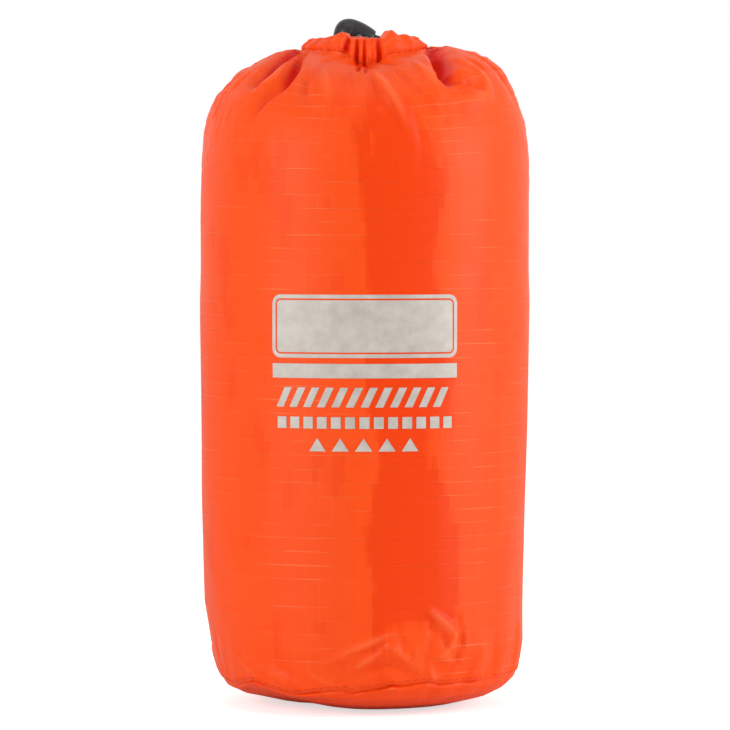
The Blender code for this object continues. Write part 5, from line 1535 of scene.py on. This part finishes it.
# Packed shelter
# The front and the back cloth of the shelter, folded to strips and rolled up together.
# Each turn shows the rounded folds of its layers at the top, where the sack's mouth shows it.
ROLL_PITCH = 0.009
ROLL_CORE_RADIUS = 0.006
ROLL_RADIUS = 0.0565
ROLL_STEPS = 660
STRIP_THICKNESS = 0.0027
STRIP_LAYERS = 3
LAYER_ROUNDING = 0.0011          # rise of each folded layer's rounded top
ROOM_TURNS, ROOM_REACH = 180, 64     # cells of 2 degrees and of 1 mm
MOUTH_ROOM = 0.2375              # room under the mouth, where no cloth lies over the roll
CLOTH_OVER_ROLL = 0.0016         # taken off under the sack's cloth, for its thickness and play
ROOM_OVER_STRIP = 0.0014
ROOM_UNDER_STRIP = 0.0022
STRIP_HEIGHT = 0.22              # of its cloth, for the weave
LAYER_SHIFT = 0.003              # from layer to layer
NO_SEAM = -1000.0                # mm along the cloth, so beyond its edge


def room_over_roll():
    """Height of the underside of the sack's cloth over azimuth and radius, as a table."""
    ring = panel_grid[wall_top:stitch_row + 1]
    room = np.full((ROOM_TURNS, ROOM_REACH), MOUTH_ROOM)
    angle, radius = azimuth_radius(ring)
    column = ((angle.ravel() + 180) // 2).astype(int) % ROOM_TURNS
    reach = np.clip((radius.ravel() * 1000).astype(int), 0, ROOM_REACH - 1)
    np.minimum.at(room, (column, reach), ring[..., 2].ravel())
    for _ in range(3):
        room = np.minimum(room, np.minimum(np.roll(room, 1, axis=0), np.roll(room, -1, axis=0)))
        room[:, :-1] = np.minimum(room[:, :-1], room[:, 1:])
    return room - CLOTH_OVER_ROLL


def strip_section():
    """A strip's section: up the inner face, over its folded layers, down the outer face.

    Each place has its share of the thickness, its share of the height, and a lift in metres.
    """
    section = [(-0.5, share, 0.0) for share in np.linspace(0, 1, 9)]
    for layer in range(STRIP_LAYERS):
        for swing in (math.pi * i / 6 for i in range(1, 6)):
            across = (layer + 0.5 - 0.5 * math.cos(swing)) / STRIP_LAYERS
            section.append((-0.5 + across, 1.0, LAYER_ROUNDING * math.sin(swing)))
        section.append((-0.5 + (layer + 1) / STRIP_LAYERS, 1.0, 0.0))
    section += [(0.5, share, 0.0) for share in np.linspace(1, 0, 9)[1:]]
    return section + [(0.2, 0.0, -0.0006), (-0.2, 0.0, -0.0006)]


def rolled_strip(name, offset, inner_turns, tightening, room, finish):
    """One cloth folded to a strip and wound in a spiral, drawn as one soft closed band."""
    last_turn = (ROLL_RADIUS - ROLL_CORE_RADIUS - offset - STRIP_THICKNESS) / ROLL_PITCH * math.tau
    turn = np.linspace(-inner_turns * math.tau, last_turn, ROLL_STEPS)
    start_radius = ROLL_CORE_RADIUS + offset + STRIP_THICKNESS / 2
    # the first turns at the core are wound tighter
    middle = np.where(turn < 0, start_radius * np.exp(tightening * np.minimum(turn, 0)),
                      start_radius + ROLL_PITCH * np.maximum(turn, 0) / math.tau)
    degrees = (np.degrees(turn) + 180) % 360 - 180
    column = ((degrees + 180) // 2).astype(int) % ROOM_TURNS
    reach = np.clip((middle * 1000).astype(int) + 1, 0, ROOM_REACH - 1)
    ceiling = room[column, reach]
    kernel = np.hanning(15) / np.hanning(15).sum()
    softened = np.convolve(np.pad(ceiling, 7, mode="edge"), kernel, mode="valid")
    ceiling = np.minimum(ceiling, softened)
    table = np.array(WALL_OUTLINES["front"], dtype=float) * 0.001
    floor = np.interp(middle + 0.0032, table[:, 1], table[:, 0]) + ROOM_UNDER_STRIP
    section = strip_section()
    size = len(section)
    spiral_x, spiral_y = middle * np.cos(turn), middle * np.sin(turn)
    run = np.concatenate([[0], np.cumsum(np.hypot(np.diff(spiral_x), np.diff(spiral_y)))])
    points = []
    for step in range(ROLL_STEPS):
        for across, share, lift in section:
            ease = 1 - 0.75 * max(0.0, abs(share - 0.5) * 2 - 0.86) / 0.14 * 0.3
            ripples = (0.00022 * math.sin(run[step] * 420 + across * 5)
                       * math.sin(run[step] * 131 + offset * 900))
            radius = middle[step] + across * STRIP_THICKNESS * ease + ripples
            waver = (0.0006 * math.sin(run[step] * 230 + across * 9)
                     + 0.0004 * math.sin(run[step] * 97))
            height = (floor[step] + (ceiling[step] - ROOM_OVER_STRIP - floor[step]) * share
                      + lift + waver * (share > 0.9))
            points.append((radius * math.cos(turn[step]), radius * math.sin(turn[step]), height))
    # the cloth's own height runs up the strip, a little further for each layer
    up = [share * STRIP_HEIGHT + across * LAYER_SHIFT for across, share, _ in section]
    faces, uv = [], []
    for step in range(ROLL_STEPS - 1):
        for i in range(size):
            k = (i + 1) % size
            faces.append((step * size + i, (step + 1) * size + i,
                          (step + 1) * size + k, step * size + k))
            uv += [(run[step], up[i]), (run[step + 1], up[i]),
                   (run[step + 1], up[k]), (run[step], up[k])]
    for start, flip in ((0, 1), ((ROLL_STEPS - 1) * size, -1)):
        faces.append(tuple(start + i for i in range(size))[::flip])
        uv += [(run[0], 0.0)] * size
    return reshape(add_piece(name, points, faces, finish, uv), face_outwards)


def finish_node(node_name, finish):
    """Gives a CAD node that is kept its own material."""
    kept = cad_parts[node_name]
    kept.data.materials.clear()
    kept.data.materials.append(finish)


def packed_finish(name, dark, pale, roughness, scale, bump):
    """Sheet goods in the roll: a mottled tone and a fine relief at a given scale."""
    finish, tree, shader = new_finish(name, pale, roughness)
    place = add_node(tree, "ShaderNodeTexCoord")
    mottle = add_node(tree, "ShaderNodeTexNoise", None, {
        "Vector": place.outputs["Object"], "Scale": scale, "Detail": 5.0, "Roughness": 0.6})
    tone = add_node(tree, "ShaderNodeMix", {"data_type": "RGBA"}, {
        0: mottle, 6: linear(dark), 7: linear(pale)})
    rough = add_node(tree, "ShaderNodeMapRange", None, {
        "Value": mottle, "To Min": roughness - 0.08, "To Max": roughness + 0.08})
    relief = add_node(tree, "ShaderNodeBump", None, {
        "Height": mottle, "Strength": bump, "Distance": 0.0002})
    feed(shader, {"Base Color": tone, "Roughness": rough, "Normal": relief})
    return finish, shader


# the rolled cloth has its own strip of painted shade, 60 mm along it
canopy_ripstop = coated_ripstop("shelter_ripstop_polyester", "ee5018", "f8622c", "e2440e",
                                (60.0, 20.0, 0.0, 300.0), NO_SEAM, 9.0)
room = room_over_roll()
for strip_name, node_name, offset, inner_turns, tightening in (
        ("rolled_front_cloth", "canopy_front_cloth", 0.0, 1.6, 0.0853),
        ("rolled_back_cloth", "canopy_back_cloth", ROLL_PITCH / 2, 0.55, 0.0984)):
    strip = rolled_strip(strip_name, offset, inner_turns, tightening, room, canopy_ripstop)
    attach(strip, "sack")
    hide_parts(node_name)
# grey PU-coated nylon of the seats
seat_cloth, _ = packed_finish("pu_coated_seat_nylon", "4a4d51", "5b5e63", 0.6, 900.0, 0.4)
# clear calendered soft PVC of the windows
window_pvc, window_shader = packed_finish("calendered_clear_pvc", "d3dde0", "e2e9ea",
                                          0.16, 120.0, 0.2)
feed(window_shader, {"Transmission Weight": 0.85, "IOR": 1.53})
# glass-bead tape, woven back and silver beaded face
bead_tape, bead_shader = packed_finish("glass_bead_reflective_tape", "a9acb0", "c2c4c7",
                                       0.4, 2400.0, 0.3)
feed(bead_shader, {"Metallic": 0.45})
for kept_finish, *node_names in (
        (canopy_ripstop, "vent_sleeve_left", "vent_sleeve_right"),
        (seat_cloth, "seat_panel_front", "seat_panel_back"),
        (window_pvc, "window_front", "window_back"),
        (bead_tape, "reflective_tape_front_left", "reflective_tape_front_right",
         "reflective_tape_back_left", "reflective_tape_back_right")):
    for node_name in node_names:
        finish_node(node_name, kept_finish)


# Floor and light
# A plain pale floor that takes the sack's shadow, under a white sky. Two tall soft lamps stand at
# the left and the right, so that the satin cloth is darkest between their highlights.
FLOOR_HALF = 4
LAMP_AIM = (0.0, 0.0, 0.13)
WHITE = (1.0, 1.0, 1.0, 1.0)
SKY_LIGHT = 0.36                 # the sky's strength as a light; seen or mirrored, it is 1
FLOOR_GLOW = 0.62                # added to the floor for the camera only, so that it looks white

floor_mesh = bpy.data.meshes.new("studio_floor")
floor_corners = [(x * FLOOR_HALF, y * FLOOR_HALF, 0)
                 for x, y in ((-1, -1), (1, -1), (1, 1), (-1, 1))]
floor_mesh.from_pydata(floor_corners, [], [(0, 1, 2, 3)])
floor_finish, floor_tree, floor_shader = new_finish("matt_white_board", "f4f4f2", 0.9)
floor_mesh.materials.append(floor_finish)
place_object("studio_floor", floor_mesh)
seen = add_node(floor_tree, "ShaderNodeLightPath").outputs["Is Camera Ray"]
glow = add_node(floor_tree, "ShaderNodeEmission", None, {"Color": WHITE, "Strength": FLOOR_GLOW})
glowing = add_node(floor_tree, "ShaderNodeAddShader", None, (floor_shader, glow))
board = add_node(floor_tree, "ShaderNodeMixShader", None, (seen, floor_shader, glowing))
feed(floor_tree.nodes["Material Output"], {"Surface": board})

sky = bpy.data.worlds.new("white_sky")
sky.use_nodes = True
bpy.context.scene.world = sky
rays = add_node(sky.node_tree, "ShaderNodeLightPath").outputs
white_rays = rays["Is Camera Ray"]
for ray in ("Is Glossy Ray", "Is Transmission Ray"):
    white_rays = add_node(sky.node_tree, "ShaderNodeMath", {"operation": "MAXIMUM"}, (
        white_rays, rays[ray]))
sky_level = add_node(sky.node_tree, "ShaderNodeMapRange", None, {
    "Value": white_rays, "To Min": SKY_LIGHT, "To Max": 1.0})
feed(sky.node_tree.nodes["Background"], {"Color": WHITE, "Strength": sky_level})

for lamp_name, place, wide, tall, power in (
        ("left_softbox", (-1.15, -0.95, 0.45), 0.8, 1.2, 14.5),
        ("right_softbox", (1.35, -0.35, 0.45), 0.7, 1.2, 17.0),
        ("top_softbox", (-0.1, -0.3, 1.5), 0.9, 0.9, 4.0)):
    lamp_data = bpy.data.lights.new(lamp_name, "AREA")
    lamp_data.shape = "RECTANGLE"
    lamp_data.size = wide
    lamp_data.size_y = tall
    lamp_data.energy = power
    lamp = place_object(lamp_name, lamp_data)
    lamp.location = place
    face_towards(lamp, LAMP_AIM)
bpy.context.scene.view_settings.view_transform = "Standard"
